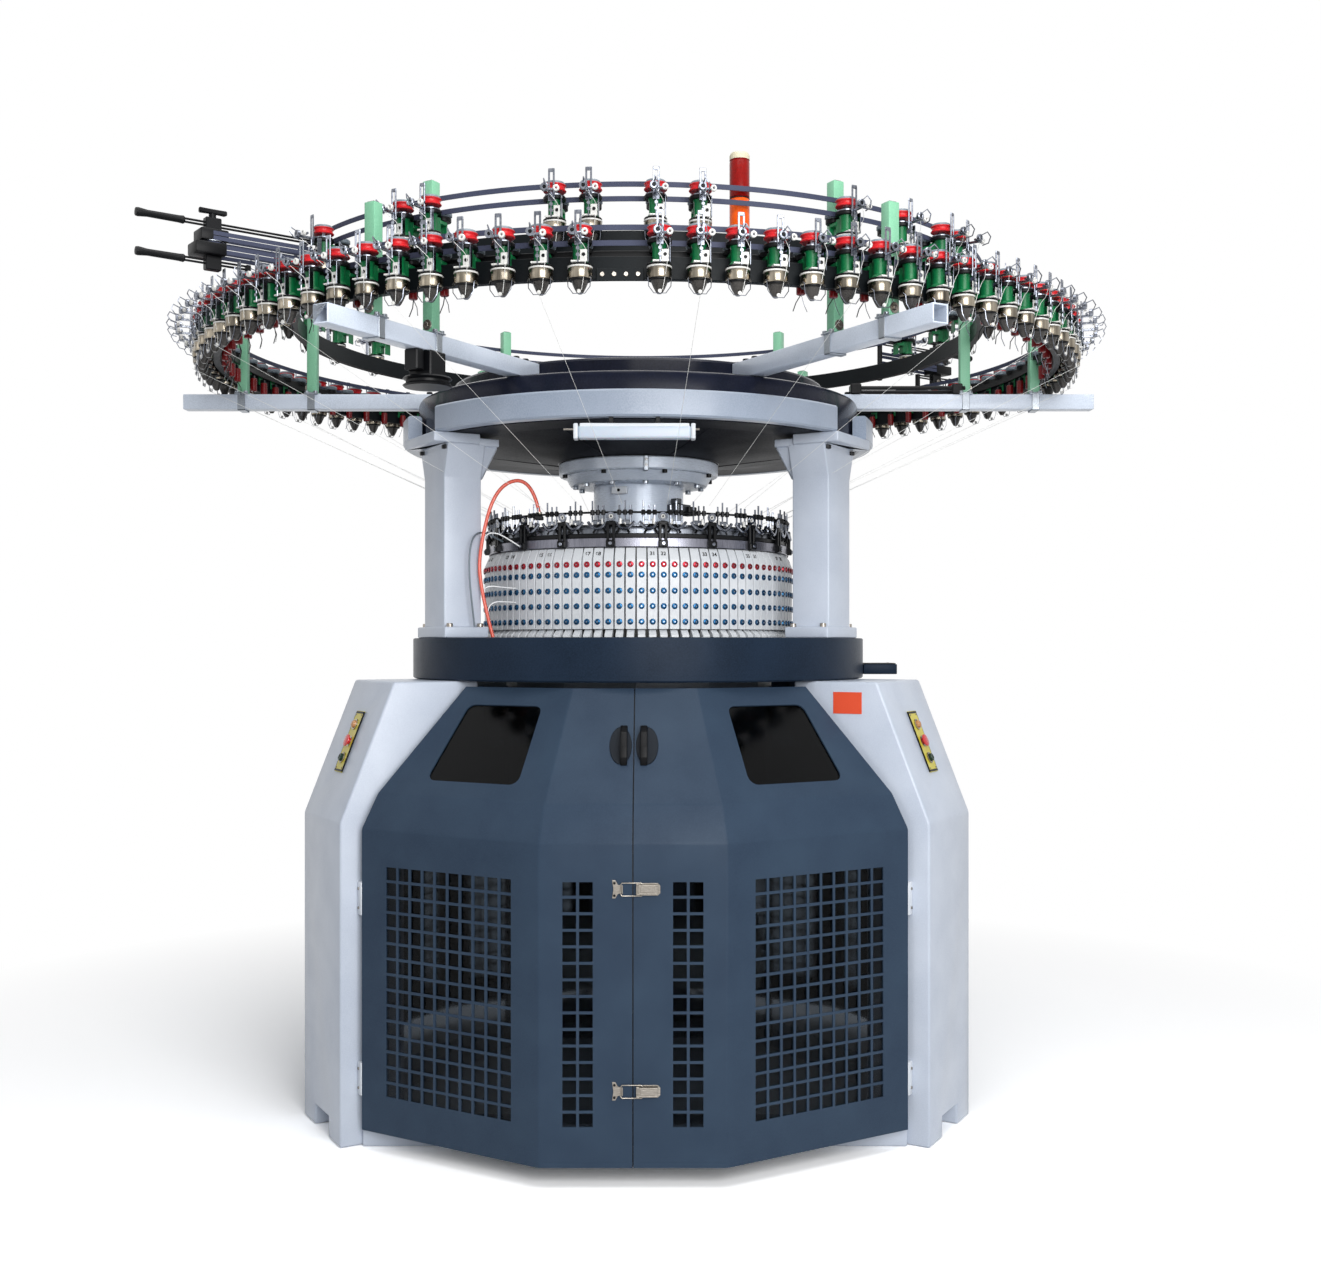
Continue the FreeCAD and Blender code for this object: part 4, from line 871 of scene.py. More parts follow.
def make_controls():
    """Button plates with ringed buttons; the middle one is a mushroom."""
    buttons = {
        "lamp": ("lamp_lens", 48.0, [(0, -9), (10.5, -9), (10.5, 11), (9, 14), (5, 16), (0, 16.3)]),
        "stop": ("button_red", 0.0, [
            (0, -9), (9, -9), (9, 9), (15.5, 10.2), (17, 12), (16.4, 14.2), (12, 15.8), (0, 16.3)]),
        "jog": ("button_green", -48.0, [
            (0, -9), (10.5, -9), (10.5, 13), (9.4, 14.4), (7, 14.8), (5, 13.4), (0, 13)]),
    }
    for side in ("left", "right"):
        face = leg_face(leg_azimuths[f"front_{side}"], plate_rise)
        plate = Assembly(("plate_yellow", box((-30, -87.5, 0.3), (30, 87.5, 4.3), 1.2), face))
        for end in (-1, 1):
            plate.put("black_plastic", box((-29, end * 83 - 3, 3.8), (29, end * 83 + 3, 4.9), 0.4), face)
            screws = [face @ at(x, end * 76.0, 4.3) for x in (-22.0, 22.0)]
            plate.put("stainless", socket_bolt(2.6, 1.6), screws)
        plate.put("black_plastic", box((-30.3, -86, 0.5), (-28.6, 86, 4.6), 0.3), [face, face @ at(58.9)])
        plate.put("nickel", ring(11.4, 15.5, 4.0, 8.0, 24, 0.8), [face @ at(0, y) for y in (-48.0, 48.0)])
        plate.put("nickel", ring(9.6, 15.5, 4.0, 4.9, 24, 0.3), face)
        plate.hand_over(f"button_plate_{side}")
        for kind, (cover, offset, profile) in buttons.items():
            name = f"button_{kind}_{side}"
            Assembly((cover, spun(profile, 28), face @ at(0, offset))).hand_over(name, name)


# ---- bed, columns and crown
def cut(shape, tool):
    """Takes one shape out of another."""
    holders = []
    for mesh in (shape, tool):
        data = bpy.data.meshes.new("cut")
        mesh.to_mesh(data)
        mesh.free()
        holders.append(linked("cut", data))
    modifier = holders[0].modifiers.new("cut", "BOOLEAN")
    modifier.operation = "DIFFERENCE"
    modifier.object = holders[1]
    seen = holders[0].evaluated_get(bpy.context.evaluated_depsgraph_get())
    result = bmesh.new()
    result.from_mesh(seen.to_mesh())
    seen.to_mesh_clear()
    for holder in holders:
        data = holder.data
        bpy.data.objects.remove(holder)
        bpy.data.meshes.remove(data)
    return result


def make_bed():
    """The bed plate with the drive pinion's pocket, and the junction box on its right."""
    bed = spun([
        (440, 1214.7), (440, 1323), (444, bed_top), (bed_radius - 5, bed_top), (bed_radius - 1, 1325.5),
        (bed_radius, 1322), (bed_radius, 1214), (bed_radius - 4, 1210), (bed_radius - 9, bed_bottom),
        (405, bed_bottom), (405, 1214.7),
    ], 144, True)
    pocket = moved(disc(68.0, 1200.0, 1276.7, 32), at(*polar(drive_reach, drive_azimuth)))
    Assembly(("bed_coat", cut(bed, pocket))).hand_over("bed_plate")
    flat = Matrix.Scale(0.5, 4, (0, 0, 1))
    screws = [at(x, y, 1252.6) @ flat for x in (683, 761) for y in (-48, 48)]
    Assembly(
        ("bed_coat", box((672.3, -60, 1220), (772.3, 60, 1250), 2.5, 2)),
        ("black_plastic", box((675, -57, 1249), (769, 57, 1253), 1.5)),
        ("stainless", socket_bolt(3.5, 2.4), screws),
    ).hand_over("bed_junction_box")


def make_columns():
    """Columns with bolted feet, flared heads and bolts under their pads."""
    for name, azimuth in leg_azimuths.items():
        turn = around(azimuth)
        feet = [around(azimuth, column_reach + x, 1357.0, y) for x in (-45.0, 45.0) for y in (-91.0, 91.0)]
        pads = [around(azimuth, reach, 1858.5, y) @ UPSIDE for reach in (519.0, 655.0) for y in (-84.0, 84.0)]
        Assembly(
            ("leg_coat", refined(f"column_{name}", 7.0, 3)),
            ("leg_coat", tapered((532, -52, 620, 52), (503, -104, 620, 104), 1768.0, 1860.0, 6.0), turn),
            ("leg_coat", box((503, -106, 1858), (566, 106, 1880), 4.0, 2), turn),
            ("stainless", socket_bolt(9.0, 10.0), feet),
            ("black_steel", hex_bolt(11.0, 11.0), pads),
        ).hand_over(f"column_{name}")


def make_crown():
    """The curved beams on the columns, and the drum on the beams."""
    Assembly(("column_coat", [
        ring(661.0, 701.0, column_top, 1960.0, 48, 5.0, 103.0, azimuth - 51.5)
        for azimuth in bay_azimuths.values()
    ])).hand_over("crown_beams")
    slope = math.atan2(40.0, 290.0)
    rib = moved(box((0, -2, -1.4), (285, 2, 0.2), 0.3), at(243, 0, 1850.6) @ Matrix.Rotation(-slope, 4, "Y"))
    Assembly(
        ("drum_coat", spun([
            (640, 1891), (652, 1891), (drum_radius, 1894), (drum_radius, 2006), (652, 2013),
            (644, drum_top), (562, drum_top), (556, 2021), (555, 2062), (551, 2068), (545, 2070),
            (0, 2070), (0, 2060), (540, 2060),
        ], 144, True)),
        # The underside and its ribs take the drum's paint made darker: painted shade.
        ("drum_under", spun([
            (0, 1850), (238, 1850), (242, 1851), (528, 1889), (536, column_top), (650, column_top),
            (650, 1896), (0, 1896),
        ], 144)),
        ("black_steel", ring(240, 243, 1849.8, 1852.5, 96, 0.5)),
        ("drum_under", rib, [around(azimuth) for azimuth in (-112.0, -68.0, 8.0, 52.0, 128.0, 172.0)]),
        ("cap_grey", box((-14, -40, 0), (14, 40, 6), 1.5), [
            around(azimuth, 500.0, 2070.0) for azimuth in (70.0, 110.0, 150.0, 30.0)]),
    ).hand_over("top_drum")


def make_dial_support():
    """The flange, chamfered disc and neck under the drum, with bolts and small fittings."""
    front, lug, side = around(-112.0), around(-84.0), around(-38.0)
    Assembly(
        ("hub_steel", spun([
            (0, 1849.6), (236, 1849.6), (240, 1846), (240, 1817), (237, 1813), (221, 1812), (205, 1784),
            (200, 1783), (140, 1783), (135, 1779), (135, 1644), (131, cap_top), (40, cap_top),
            (40, 1650), (0, 1650),
        ], 96)),
        ("zinc", hex_bolt(9.0, 9.0), [place @ UPSIDE for place in evenly(12, 7.0, 190.0, 1784.0)]),
        ("black_steel", hex_bolt(8.0, 10.0), [place @ UPSIDE for place in evenly(8, 20.0, 231.0, 1813.5)]),
        ("black_steel", ring(134.5, 136.5, 1640.0, 1652.0, 64, 0.5)),
        ("hinge_white", box((132, -24, 1750), (150, 24, 1772), 2.0), front),
        ("black_steel", socket_bolt(4.5, 3.0), front @ outward(150, 0, 1761)),
        ("zinc", box((228, -7, 1806), (246, 7, 1850), 2.0), lug),
        ("stainless", socket_bolt(4.0, 4.0), [lug @ outward(244, 0, height) for height in (1822.0, 1838.0)]),
        ("iron", [
            box((133, -32, 1700), (176, 30, 1722), 2.0),
            box((148, -34, 1722), (172, -10, 1738), 2.0),
        ], side),
        ("black_steel", box((150, 8, 1690), (186, 46, 1716), 2.0), side),
    ).hand_over("dial_support")


def make_work_lamp():
    """An opal lamp in end caps on a rod, with two clips up to the crown beam."""
    lamp = Assembly(
        ("diffuser", box((662, -144, 1833), (698, 144, 1866), 6.0, 3), FRONT),
        ("hinge_white", box((663, -140, 1862), (697, 140, 1872), 2.0), FRONT),
    )
    for side in (-1, 1):
        cap, clip = side * 150, side * 60
        lamp.put("hinge_white", box((660, cap - 6, 1832), (698, cap + 6, 1872), 3.0, 2), FRONT)
        lamp.put("black_steel", box((677, clip - 6, 1870), (687, clip + 6, 1889.6), 1.0), FRONT)
        lamp.put("black_steel", box((672, clip - 9, 1871), (692, clip + 9, 1877), 1.0), FRONT)
    lamp.put("stainless", rod((682, -182, 1858), (682, 166, 1858), 3.0, 10, 0.6), FRONT)
    lamp.hand_over("work_lamp")


# ---- knitting head
def number_shape(number):
    text = bpy.data.curves.new("number", "FONT")
    text.body = str(number)
    text.size = 15.0
    text.align_x = "CENTER"
    text.offset = 0.35
    text.extrude = 0.3
    return meshed(text)


def make_cam_boxes():
    """Boxes side by side round the cylinder, with a red and four blue buttons each, and numbers on some."""
    half = math.pi * box_reach / box_count - 2.1
    wall = [(412, 1350), (box_reach, 1350), (box_reach, 1538), (448, 1569), (445, 1572), (412, 1572)]
    foot = [(412, bed_top), (466, bed_top), (466, 1334), (450, 1349), (412, 1349)]
    unit = Assembly(
        ("cam_steel", moved(prism(wall, -half, half, 0.7), STANDING)),
        ("cam_steel", moved(prism(foot, 3.0 - half, half - 3.0, 0.5), STANDING)),
    )
    stud = [(0, 1.4), (4.0, 1.4), (4.4, 4.0), (7.6, 3.0), (8.8, 0)]
    for key, heights in (("dyed_red", (1526.0,)), ("dyed_blue", (1497.6, 1454.3, 1412.4, 1370.2))):
        places = [outward(box_reach, 0, height) for height in heights]
        unit.put(key, spun(stud, 9), places)
        unit.put("chrome", disc(2.6, 1.0, 3.2, 5, 0.4), places)
    boxes = Assembly()
    boxes.stamp(unit, evenly(box_count, front_azimuth + 360.0 / box_count / 2))
    boxes.put("black_steel", ring(420, 446, 1328, 1571, 72))
    chamfer = on_face((456.3, 0, 1551.0), (0, 1, 0), (-14, 0, 31))
    numbered = [step + beside for step in range(1, box_count - 3, 5) for beside in (0, 1)]
    for number, step in enumerate(numbered, 31):
        azimuth = front_azimuth + 360.0 / box_count * (step + 0.5)
        boxes.put("black_plastic", number_shape(number), around(azimuth) @ chamfer)
    boxes.hand_over("cam_boxes")


def make_guide_ring():
    """The band over the boxes, twenty clamp posts with eyelets, and the thin ring with its pins."""
    head = Assembly(
        ("band_steel", ring(418, 450, 1574, 1599, 120, 1.5)),
        ("black_steel", [ring(418, 446, 1599, 1611, 120, 1.5), hoop(447, 1668, 4, 3.2)]),
        ("needle_steel", [hoop(440, 1628, 5, 4.0), ring(424, 437, 1611, 1636, 96, 1.0)]),
    )
    clamp = Assembly()
    for side in (-1, 1):
        clamp.put("black_steel", wire([
            (448, side * 15, 1612), (450, side * 27, 1634), (450, side * 36, 1634), (448, side * 50, 1612),
        ], 3.2))
        clamp.put("ceramic", disc(5.0, 1634, 1652, 8, 1.2), at(444, side * 24))
        clamp.put("needle_steel", box((436, side * 40 - 12, 1634), (446, side * 40 + 12, 1648), 2.0))
    clamp.put("black_steel", [
        *[box((448, y - 4, 1580), (458, y + 4, 1640), 1.5) for y in (-8, 8)],
        box((444, -13, 1574), (462, 13, 1592), 2.0),
        box((436, -13, 1632), (458, 13, 1644), 2.0),
        box((440, -4, 1640), (450, 4, 1668), 1.0),
    ])
    eyelet = on_face((452, 0, 1657), (0, 1, 0), (0.2, 0, 1))
    clamp.put("chrome", socket_bolt(5.0, 4.0), outward(461, 0, 1583))
    clamp.put("chrome", ring(6.0, 13.0, -2.0, 2.0, 16, 1.0), eyelet)
    clamp.put("ceramic", ring(3.0, 6.2, -2.5, 2.5, 12, 0.8), eyelet)
    for side in (-1, 1):
        clamp.put("chrome", wire([
            (452, side * 14, 1640), (456, side * 28, 1622), (456, side * 48, 1622), (450, side * 64, 1642),
        ], 4.2, 1, "NURBS"))
    head.stamp(clamp, evenly(clamp_count, clamp_azimuth))
    pins = Assembly()
    for angle in (-6.2, -4.2, -2.2, 2.2, 4.2, 6.2):
        pin_top = 1700 if angle in (-4.2, 2.2) else 1688
        pins.put("chrome", rod((447, 0, 1630), (447, 0, pin_top), 2.6, 6), around(angle))
        pins.put("black_steel", disc(6.0, 1661, 1675, 8, 1.5), around(angle, 447.0))
        pins.put("ceramic", disc(3.2, 1634, 1641, 6, 0.8), around(angle, 447.0))
    head.stamp(pins, evenly(clamp_count, pin_azimuth))
    hose_end = (-272.0, -347.0)
    head.put("nickel", disc(8.5, 1664, 1677.2, 18, 1.0), at(*hose_end))
    head.put("nickel", hex_bolt(9.0, 5.0), at(*hose_end, 1666))
    head.put("black_steel", box((-12, -14, 1655), (12, 14, 1666), 2.0), at(*hose_end))
    head.hand_over("yarn_guide_ring")


def make_rotor():
    """The needle cylinder with its gear, the dial and the dial cap."""
    Assembly(("needle_steel", ring(380, 406, 1320, 1555, 96, 1.5))).hand_over("needle_cylinder", "cylinder")
    Assembly(("iron", ring(380, 436, 1215, 1320, 96, 2.0))).hand_over("cylinder_gear", "cylinder")
    dial = Assembly(("needle_steel", [disc(398, 1560, 1590, 96, 2.0), disc(30, 1590, 1812, 24, 1.0)]))
    dial.hand_over("dial", "dial")
    Assembly(
        ("cam_steel", spun([
            (40, 1610), (396, 1610), (400, 1613), (400, 1622), (392, 1634), (300, cap_top), (140, cap_top),
            (40, 1637.8),
        ], 96, True)),
        ("needle_steel", box((150, -5, 1636), (396, 5, 1641), 1.0), evenly(clamp_count, pin_azimuth)),
        ("black_steel", socket_bolt(5.0, 4.0), evenly(clamp_count, pin_azimuth, 330.0, 1640.0)),
    ).hand_over("dial_cap")


# ---- take-down inside the base
def make_takedown():
    """The frame, rollers and cloth roll that turn with the cylinder, and the drive beside them."""
    dressed("takedown_frame", "motor_coat", 2.5, 2, "cylinder")
    for name, offset in (("front", -31.0), ("back", 31.0)):
        place = at(roller_end, offset, 640) @ SIDEWAYS
        Assembly(
            ("rubber", disc(30.0, 0.5, 775.0, 40, 1.5), place),
            ("zinc", ring(12.0, 22.0, 0.0, 1.5, 24, 0.3), place),
            ("zinc", ring(12.0, 22.0, roller_length - 1.5, roller_length, 24, 0.3), place),
        ).hand_over(f"draw_roller_{name}", f"draw_roller_{name}")
    place = at(roller_end, 0, 380) @ SIDEWAYS
    Assembly(
        ("knit", disc(110.0, 25.0, 750.0, 64, 5.0), place),
        ("zinc", disc(22.0, 0.0, roller_length, 24, 1.0), place),
    ).hand_over("cloth_roll", "cloth_roll")
    drive = around(drive_azimuth, drive_reach)
    Assembly(
        ("iron", disc(60.0, 1216, 1276, 40, 2.0), drive),
        ("needle_steel", disc(16.0, 1197, 1217, 20), drive),
    ).hand_over("drive_pinion", "drive_pinion")
    dressed("drive_motor", "motor_coat", 3.0)


# ---- yarn ring
def make_arms():
    """The arms with bolts and straps, the drive pulley, the conduit rods on the right and the belt guides."""
    strap = [
        box((-11, -26, -49), (11, -22.4, 6), 1.0), box((-11, 22.4, -49), (11, 26, 6), 1.0),
        box((-11, -26, -49), (11, 26, -45.2), 1.0), box((-20, -30, -0.2), (20, 30, 3.5), 1.0),
    ]
    fittings = Assembly(
        ("zinc", strap),
        ("zinc", hex_bolt(7.0, 6.0), [at(x, y, 3.0) for x in (-13, 13) for y in (-22, 22)]),
        ("stainless", disc(13.0, 0.0, 2.0, 20, 0.5), outward(15.0, 0, 22.0)),
        ("stainless", hex_bolt(7.0, 5.0), outward(16.5, 0, 22.0)),
    )
    bolts = [around(azimuth, reach, arm_top - 0.5) for azimuth in arm_azimuths for reach in (590.0, 632.0)]
    seats = [around(azimuth, reach, arm_top) for azimuth in arm_azimuths for reach in (985.0, 1195.0)]
    arms = Assembly(("arm_coat", refined("feeder_arms", 2.0)), ("black_steel", socket_bolt(9.0, 10.0), bolts))
    arms.stamp(fittings, seats)
    arms.put("black_steel", [
        box((-30, -34, 1954), (30, 34, 2016.8), 3.0),
        spun([
            (0, 1932), (56, 1932), (60, 1936), (52, 1941), (52, 1947), (60, 1952), (56, 1956), (0, 1956),
        ], 32),
        box((36, -20, 1966), (64, 20, 2016.8), 3.0),
    ], around(pulley_azimuth, pulley_reach))
    arms.put("black_steel", [
        rod((640, -14.0, 2082.0), (985, -14.0, 2082.0), 6.0, 10, 1.0),
        rod((640, 12.0, 2074.0), (985, 12.0, 2074.0), 6.0, 10, 1.0),
        *[box((reach - 16, -26, arm_top - 0.2), (reach + 16, 24, 2094), 3.0) for reach in (655.0, 960.0)],
    ])
    for azimuth in guide_azimuths:
        guide = around(azimuth, guide_reach)
        arms.put("guide_green", box((-36, -30, 2196), (36, 30, 2222), 3.0), guide)
        arms.put("feeder_red", disc(28.0, 2226, 2240, 20, 3.0), guide)
        arms.put("ceramic", [disc(25.0, 2221, 2227, 20, 1.5), disc(25.0, 2239, 2247, 20, 1.5)], guide)
    arms.hand_over("feeder_arms")


def make_posts():
    """The posts, with a cap on the outer and the inner one of each arm."""
    posts = Assembly(("post_coat", refined("ring_posts", 1.8)))
    for azimuth in arm_azimuths:
        posts.put("black_plastic", [
            box((1184, -11, 2327), (1206, 11, 2331), 1.0),
            box((974, -11, 2433), (996, 11, 2437), 1.0),
        ], around(azimuth))
    posts.hand_over("ring_posts")


def make_rings():
    """The bars with the splice plate, the wiring loom inside the outer one, and the belts."""
    splice = around(splice_azimuth)
    screws = [splice @ outward(outer_seat + 5, y, 2113) for y in (-39, -13, 13, 39)]
    loom = [ring(1196, 1202, 2148, 2174, 28, 1.5, 57.0, azimuth + 1.5) for azimuth in arm_azimuths]
    Assembly(
        ("ring_coat", ring(1210.4, outer_seat, 2104, 2154, 184, 1.2)),
        ("ring_coat", ring(1000.4, inner_seat, 2220, 2270, 144, 1.2)),
        ("black_plastic", loom),
        ("ring_coat", box((outer_seat, -52, 2099), (outer_seat + 5, 52, 2127), 1.0), splice),
        ("stainless", socket_bolt(5.0, 4.0), screws),
    ).hand_over("ring_bars")
    Assembly(("belt", [
        ring(seat - 2.8, seat - 0.3, base + lift, base + lift + 12, 184)
        for seat, base in ((outer_seat, outer_base), (inner_seat, inner_base)) for lift in (113.0, 147.0)
    ])).hand_over("feeder_belts")


def feeder():
    """One feeder: X outwards from its ring, Z up from the foot of its tier."""
    axis, tail = at(28), at(-25)
    eyelet, guide = outward(96, -7, 121), outward(92, 19, 119)
    bail = twofold([(30, -25, 44), (42, -25, 34), (44, -24, 14), (45, -13, -1)])
    return Assembly(
        ("cup", spun([(0, 1), (5, 1.5), (8, 5), (12.5, 13), (16.5, 22), (19.5, 31), (0, 31)], 12), axis),
        ("black_plastic", disc(25.0, 29, 33, 16, 0.8), axis),
        ("nickel", spun([(0, 33), (26, 33), (27, 35), (27, 54), (26, 56), (0, 56)], 16), axis),
        ("ceramic", disc(27.8, 56, 60, 16, 1.0), axis),
        ("black_plastic", disc(27.0, 60, 65, 16, 1.2), axis),
        ("feeder_green", spun([
            (0, 65), (19, 65), (19, 69), (15.5, 74), (15.5, 102), (18, 108), (18, 109), (0, 109)], 14), axis),
        ("feeder_green", box((0.2, -11, 68), (24, 11, 106), 1.5)),
        ("black_plastic", disc(19.0, 102, 113, 12, 1.0), tail),
        ("cap_grey", disc(21.0, 113, 126, 14, 3.0), tail),
        ("feeder_green", box((-24, -13, 90.5), (4, 13, 100), 1.5)),
        ("feeder_green", box((-24, -13, 62), (-20.6, 13, 96), 1.0)),
        ("black_plastic", disc(27.0, 108, 117, 16, 1.5), axis),
        ("chrome", [disc(24.0, 117, 121, 14, 0.8), disc(10.0, 123, 129, 8)], axis),
        ("feeder_red", spun([
            (0, 129), (26, 129), (27.5, 131), (24, 135), (24, 140), (27.5, 143.5), (26, 145), (0, 145),
        ], 18), axis),
        ("cap_grey", spun([(0, 145), (25, 145), (25, 147), (22, 151), (0, 151)], 16), axis),
        ("chrome", [
            *[box((58, y - 2.2, 106), (61, y + 2.2, 170), 0.6) for y in (-5.6, 5.6)],
            box((58, -7.8, 166), (61, 7.8, 175), 1.2),
            box((56, -7.8, 100), (60, 7.8, 118), 0.8),
            box((50, -3, 112), (98, 3, 118), 1.0),
            rod((61, 0, 62), (61, 0, 112), 1.8, 6),
            box((44, 20.5, 64), (56, 22.5, 114), 0.6),
        ]),
        ("ceramic", [box((34, -16, 64), (60, 16, 67.5), 0.8), box((50, 3, 66), (52.4, 19, 92), 0.6)]),
        ("black_steel", disc(4.2, 0, 1.0, 8), outward(52.4, 11, 81)),
        ("chrome", disc(4.5, 0, 4, 8, 0.6), [outward(61, 0, height) for height in (78.0, 92.0)]),
        ("chrome", rod((84, -9, 119), (84, 24, 119), 3.2, 8)),
        ("chrome", ring(3.5, 10.0, -5, 5, 14, 1.6), eyelet),
        ("ceramic", ring(2.6, 7.5, -4, 4, 12, 1.6), guide),
        ("black_steel", disc(3.6, -4.6, 4.2, 8), eyelet),
        ("ceramic", disc(4.5, -3, 3, 10, 1.2), outward(46, 0, 3.5)),
        ("chrome", [
            wire([(96, -7, 126), (116, -4, 134), (122, 2, 122), (114, 6, 108), (98, 4, 104)], 1.6),
            wire(bail, 1.0),
        ]),
        ("yarn", wire([(96, -7, 119), (84, 14, 96), (58, 20, 84), (46, 6, 6)], 0.6, 0, "NURBS")),
    )


def drop_lamp():
    """The red stop lamp and its wires, on the inner face of the outer ring."""
    return Assembly(
        ("stop_lamp", disc(10.5, 28, 68, 12, 2.0), at(-33)),
        ("black_steel", box((-36, -6, 66), (-20.8, 6, 78), 1.0)),
        ("chrome", wire([(-32, 0, 30), (-36, 8, 10), (-30, 14, -10)], 0.9)),
        ("black_steel", wire([(-32, 2, 32), (-42, -8, 12), (-40, -16, -8)], 1.2)),
    )


def make_feeders():
    """Both tiers of feeders, with a lamp by each outer one that is clear of posts and splice."""
    clear = [
        azimuth for azimuth in outer_azimuths
        if min(azimuth % 60, 60 - azimuth % 60) > 2.0 and abs((azimuth + 270) % 360 - 180) > 17.0]
    outer, inner = Assembly(), Assembly()
    outer.stamp(feeder(), [around(azimuth, outer_seat, outer_base) for azimuth in outer_azimuths])
    outer.stamp(drop_lamp(), [around(azimuth, outer_seat, outer_base) for azimuth in clear])
    outer.hand_over("outer_feeders")
    inner.stamp(feeder(), [around(azimuth, inner_seat, inner_base) for azimuth in inner_azimuths])
    inner.hand_over("inner_feeders")


def make_yarns():
    """Taut yarns from the outer feeders down over the guide ring."""
    Assembly(("yarn", [
        rod(polar(1285, azimuth, outer_base + 2), polar(450, azimuth + 4.0, 1690), 0.5, 4)
        for azimuth in outer_azimuths[1::4]
    ])).hand_over("yarns", is_node=False)


def make_tensioners():
    """Twin rods with a handle on each tier, the belts' ends between them, and a sliding block with a knob."""
    rails = Assembly()
    handle = [(0, 0), (8, 0), (10, 3), (9, 14), (8.5, 90), (11, 112), (10, 118), (0, 120)]
    for azimuth in tensioner_azimuths.values():
        turn = around(azimuth)
        for height, start in ((2256.0, 1212.0), (2350.0, 1024.6)):
            for level in (height - 4.0, height + 4.0):
                rails.put("black_steel", rod((start, 0, level), (1382, 0, level), 2.9, 10), turn)
            rails.put("black_plastic", spun(handle, 18), around(azimuth, 1380.0, height) @ SIDEWAYS)
        rails.put("black_steel", [
            box((1213.5, -7, 2154.3), (1225.5, 7, 2263), 1.0),
            box((1024.6, -7, 2220.3), (1036.6, 7, 2357), 1.0),
        ], turn)
        rails.put("belt", [
            box((1060, offset - 1.2, height - 5), (1318, offset + 1.2, height + 5))
            for height in (2279.0, 2291.0, 2311.0, 2323.0) for offset in (-29.0, 29.0)
        ], turn)
    rails.hand_over("tensioner_rails")
    wing = [(-22, -5), (-8, -3), (8, -3), (22, -5), (24, 5), (8, 4), (-8, 4), (-24, 5)]
    for side, azimuth in tensioner_azimuths.items():
        turn, wheel, knob = around(azimuth), around(azimuth, 1312.0), around(azimuth, 1310.0)
        wing_place = around(azimuth, 1310.0, 2382.0) @ Matrix.Scale(1.5, 4)
        Assembly(
            ("black_plastic", [
                box((1278, -30, 2304), (1348, 30, 2334), 4.0, 2),
                box((1284, -32, 2270), (1362, 32, 2300), 4.0, 2),
            ], turn),
            ("black_steel", [
                box((1290, -11, 2236), (1330, 11, 2290), 2.0),
                box((1290, -11, 2326), (1330, 11, 2366), 2.0),
            ], turn),
            ("belt", [disc(30.0, 2290, 2302, 32, 1.0), disc(30.0, 2312, 2324, 32, 1.0)], wheel),
            ("zinc", disc(31.5, 2303, 2306, 32, 1.0), wheel),
            ("black_plastic", disc(9.0, 2364, 2376, 16, 1.0), knob),
            ("black_plastic", prism(wing, -4, 4, 1.5), wing_place),
            ("stainless", socket_bolt(6.0, 5.0), [
                turn @ on_face((1310, -11, height), (1, 0, 0), (0, 0, 1)) for height in (2246.0, 2356.0)]),
        ).hand_over(f"tensioner_block_{side}", f"tensioner_block_{side}")


def make_signal_lamp():
    """Two lenses with a groove near their top, on a black foot, under a pale cap."""
    foot, joint, top = 2270.0, 2366.0, 2458.0
    place = around(signal_azimuth, signal_reach)
    cap = [(0, top), (24, top), (24, 2468), (21, 2474), (14, 2476), (0, 2476)]
    lamp = Assembly(("black_plastic", disc(24.0, 2262, foot, 32, 1.0), place))
    for key, low, high in (("signal_amber", foot, joint), ("signal_red", joint, top)):
        lamp.put(key, spun([
            (0, low), (22.6, low), (22.6, low + 2), (24.0, low + 4), (24.0, high - 6), (22.8, high - 4),
            (22.8, high - 2), (24.0, high - 1), (24.0, high), (0, high),
        ], 40), place)
    lamp.put("black_plastic", ring(20, 24.2, joint - 1.5, joint + 1.5, 32, 0.6), place)
    lamp.put("signal_cap", spun(cap, 32), place)
    lamp.hand_over("signal_lamp")


# ---- floor, light and background
def whiteness(tree):
    """1 where a camera, glossy or transmission ray looks, so that only they see the white room."""
    path = add(tree, "ShaderNodeLightPath").outputs
    seen = combined(tree, "MAXIMUM", path["Is Camera Ray"], path["Is Glossy Ray"])
    return combined(tree, "MAXIMUM", seen, path["Is Transmission Ray"])


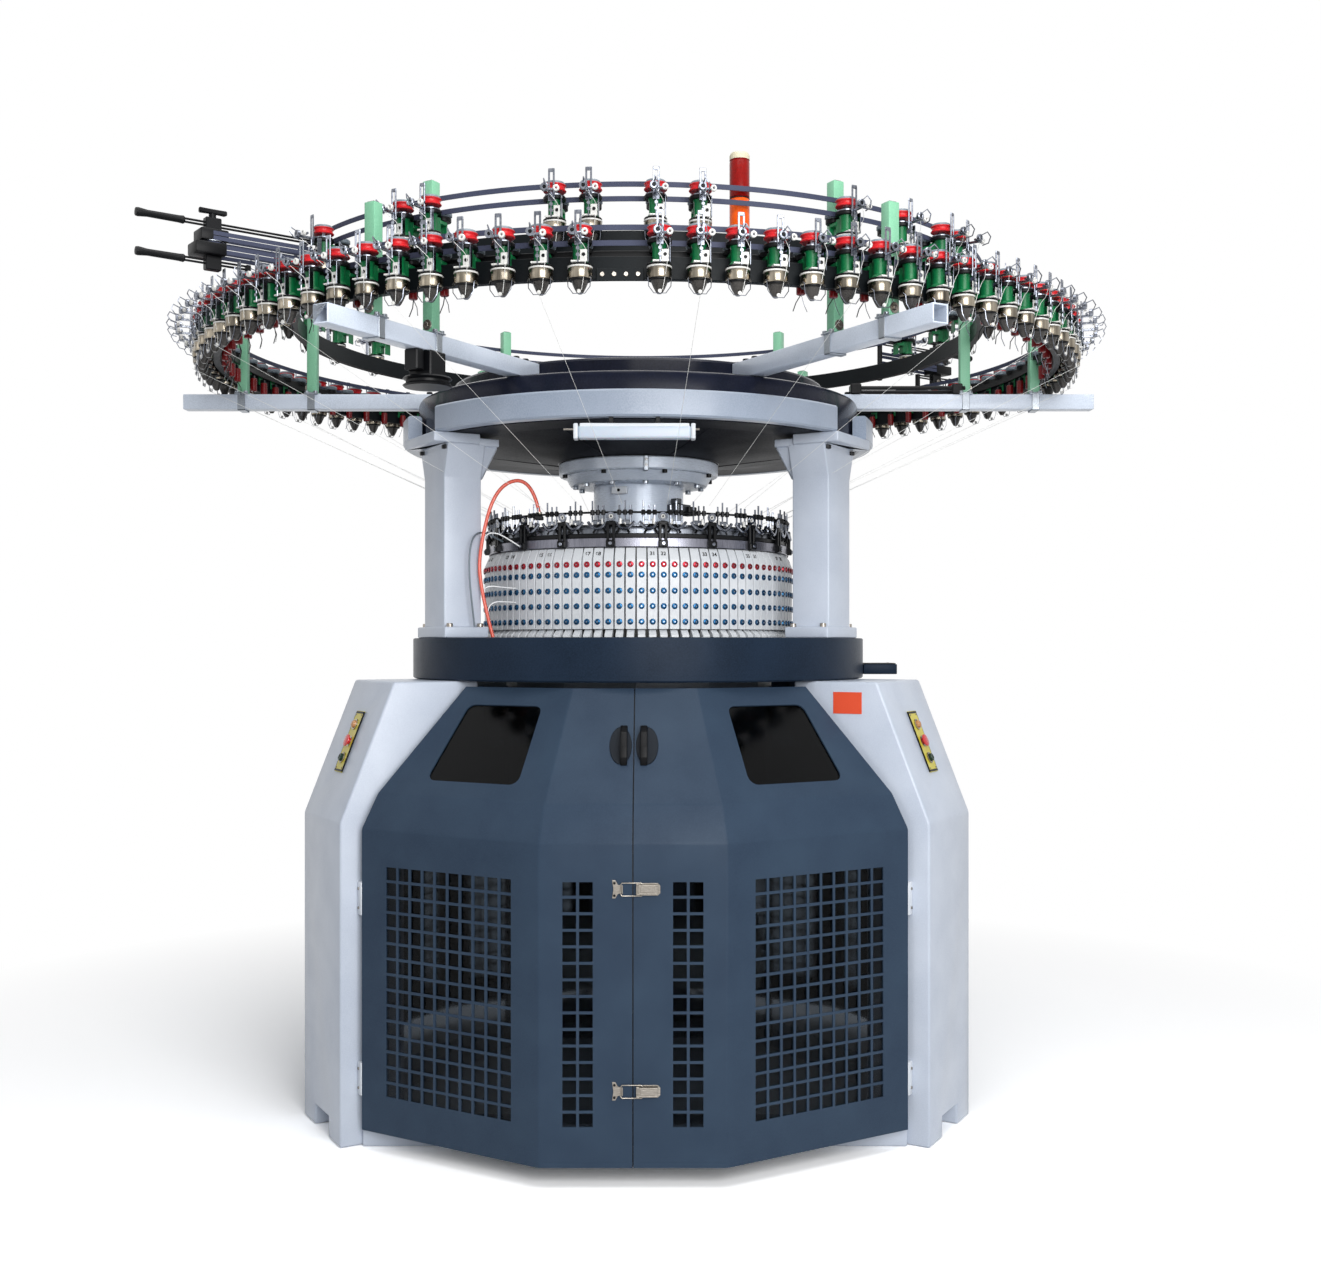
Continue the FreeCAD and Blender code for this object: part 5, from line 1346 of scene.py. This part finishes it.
def make_floor():
    """A pale floor that keeps the shadow and turns into the white room further out."""
    sheet = bmesh.new()
    bmesh.ops.create_grid(sheet, x_segments=1, y_segments=1, size=15.0)
    data = bpy.data.meshes.new("floor")
    sheet.to_mesh(data)
    sheet.free()
    floor = linked("floor", data)
    floor.location = (0, 0, -0.0005)
    material, tree, shader, place = started("pale_painted_floor")
    tint = blended(tree, whiteness(tree), srgb("#d2d2d2"), (1.5, 1.5, 1.5, 1))
    matt = add(tree, "ShaderNodeBsdfDiffuse", {"Color": tint})
    glow = add(tree, "ShaderNodeEmission", {"Color": (1, 1, 1, 1), "Strength": 1.0})
    reach = add(tree, "ShaderNodeVectorMath", {0: place}, operation="LENGTH").outputs["Value"]
    open_floor = add(tree, "ShaderNodeMapRange", {0: reach, 1: 1.1, 2: 3.0}).outputs[0]
    share = combined(tree, "MULTIPLY", open_floor, whiteness(tree))
    seen = add(tree, "ShaderNodeMixShader", {0: share, 1: matt.outputs[0], 2: glow.outputs[0]})
    output = next(node for node in tree.nodes if node.type == "OUTPUT_MATERIAL")
    tree.links.new(seen.outputs[0], output.inputs["Surface"])
    data.materials.append(material)


def make_room():
    """A white background for the rays that see it, a dim one that lights, and three level softboxes."""
    world = bpy.data.worlds.new("studio")
    bpy.context.scene.world = world
    world.use_nodes = True
    tree = world.node_tree
    tree.nodes.clear()
    room = add(tree, "ShaderNodeBackground", {"Color": srgb("#f2f5fa"), "Strength": 0.3})
    white = add(tree, "ShaderNodeBackground", {"Color": (1, 1, 1, 1), "Strength": 1.0})
    mixed = add(tree, "ShaderNodeMixShader", {0: whiteness(tree), 1: room.outputs[0], 2: white.outputs[0]})
    add(tree, "ShaderNodeOutputWorld", {"Surface": mixed.outputs[0]})
    for name, place, target, size, power in (
        ("left_softbox", (-4.4, -2.6, 2.6), (0, 0, 1.2), 2.0, 8.0),
        ("front_softbox", (1.4, -5.2, 2.6), (0, 0, 1.2), 3.4, 232.0),
        ("top_softbox", (0.4, -1.6, 5.4), (0, 0, 1.0), 3.0, 110.0),
    ):
        light = bpy.data.lights.new(name, "AREA")
        light.shape = "SQUARE"
        light.size = size
        light.energy = power
        lamp = linked(name, light)
        lamp.location = place
        lamp.rotation_euler = (Vector(target) - Vector(place)).to_track_quat("-Z", "Y").to_euler()


bpy.context.scene.view_settings.view_transform = "Standard"
make_legs()
make_doors()
make_guards()
make_hinges()
make_latches()
make_controls()
make_bed()
make_columns()
make_crown()
make_dial_support()
make_work_lamp()
make_cam_boxes()
make_guide_ring()
make_rotor()
make_takedown()
make_arms()
make_posts()
make_rings()
make_feeders()
make_yarns()
make_tensioners()
make_signal_lamp()
make_floor()
make_room()
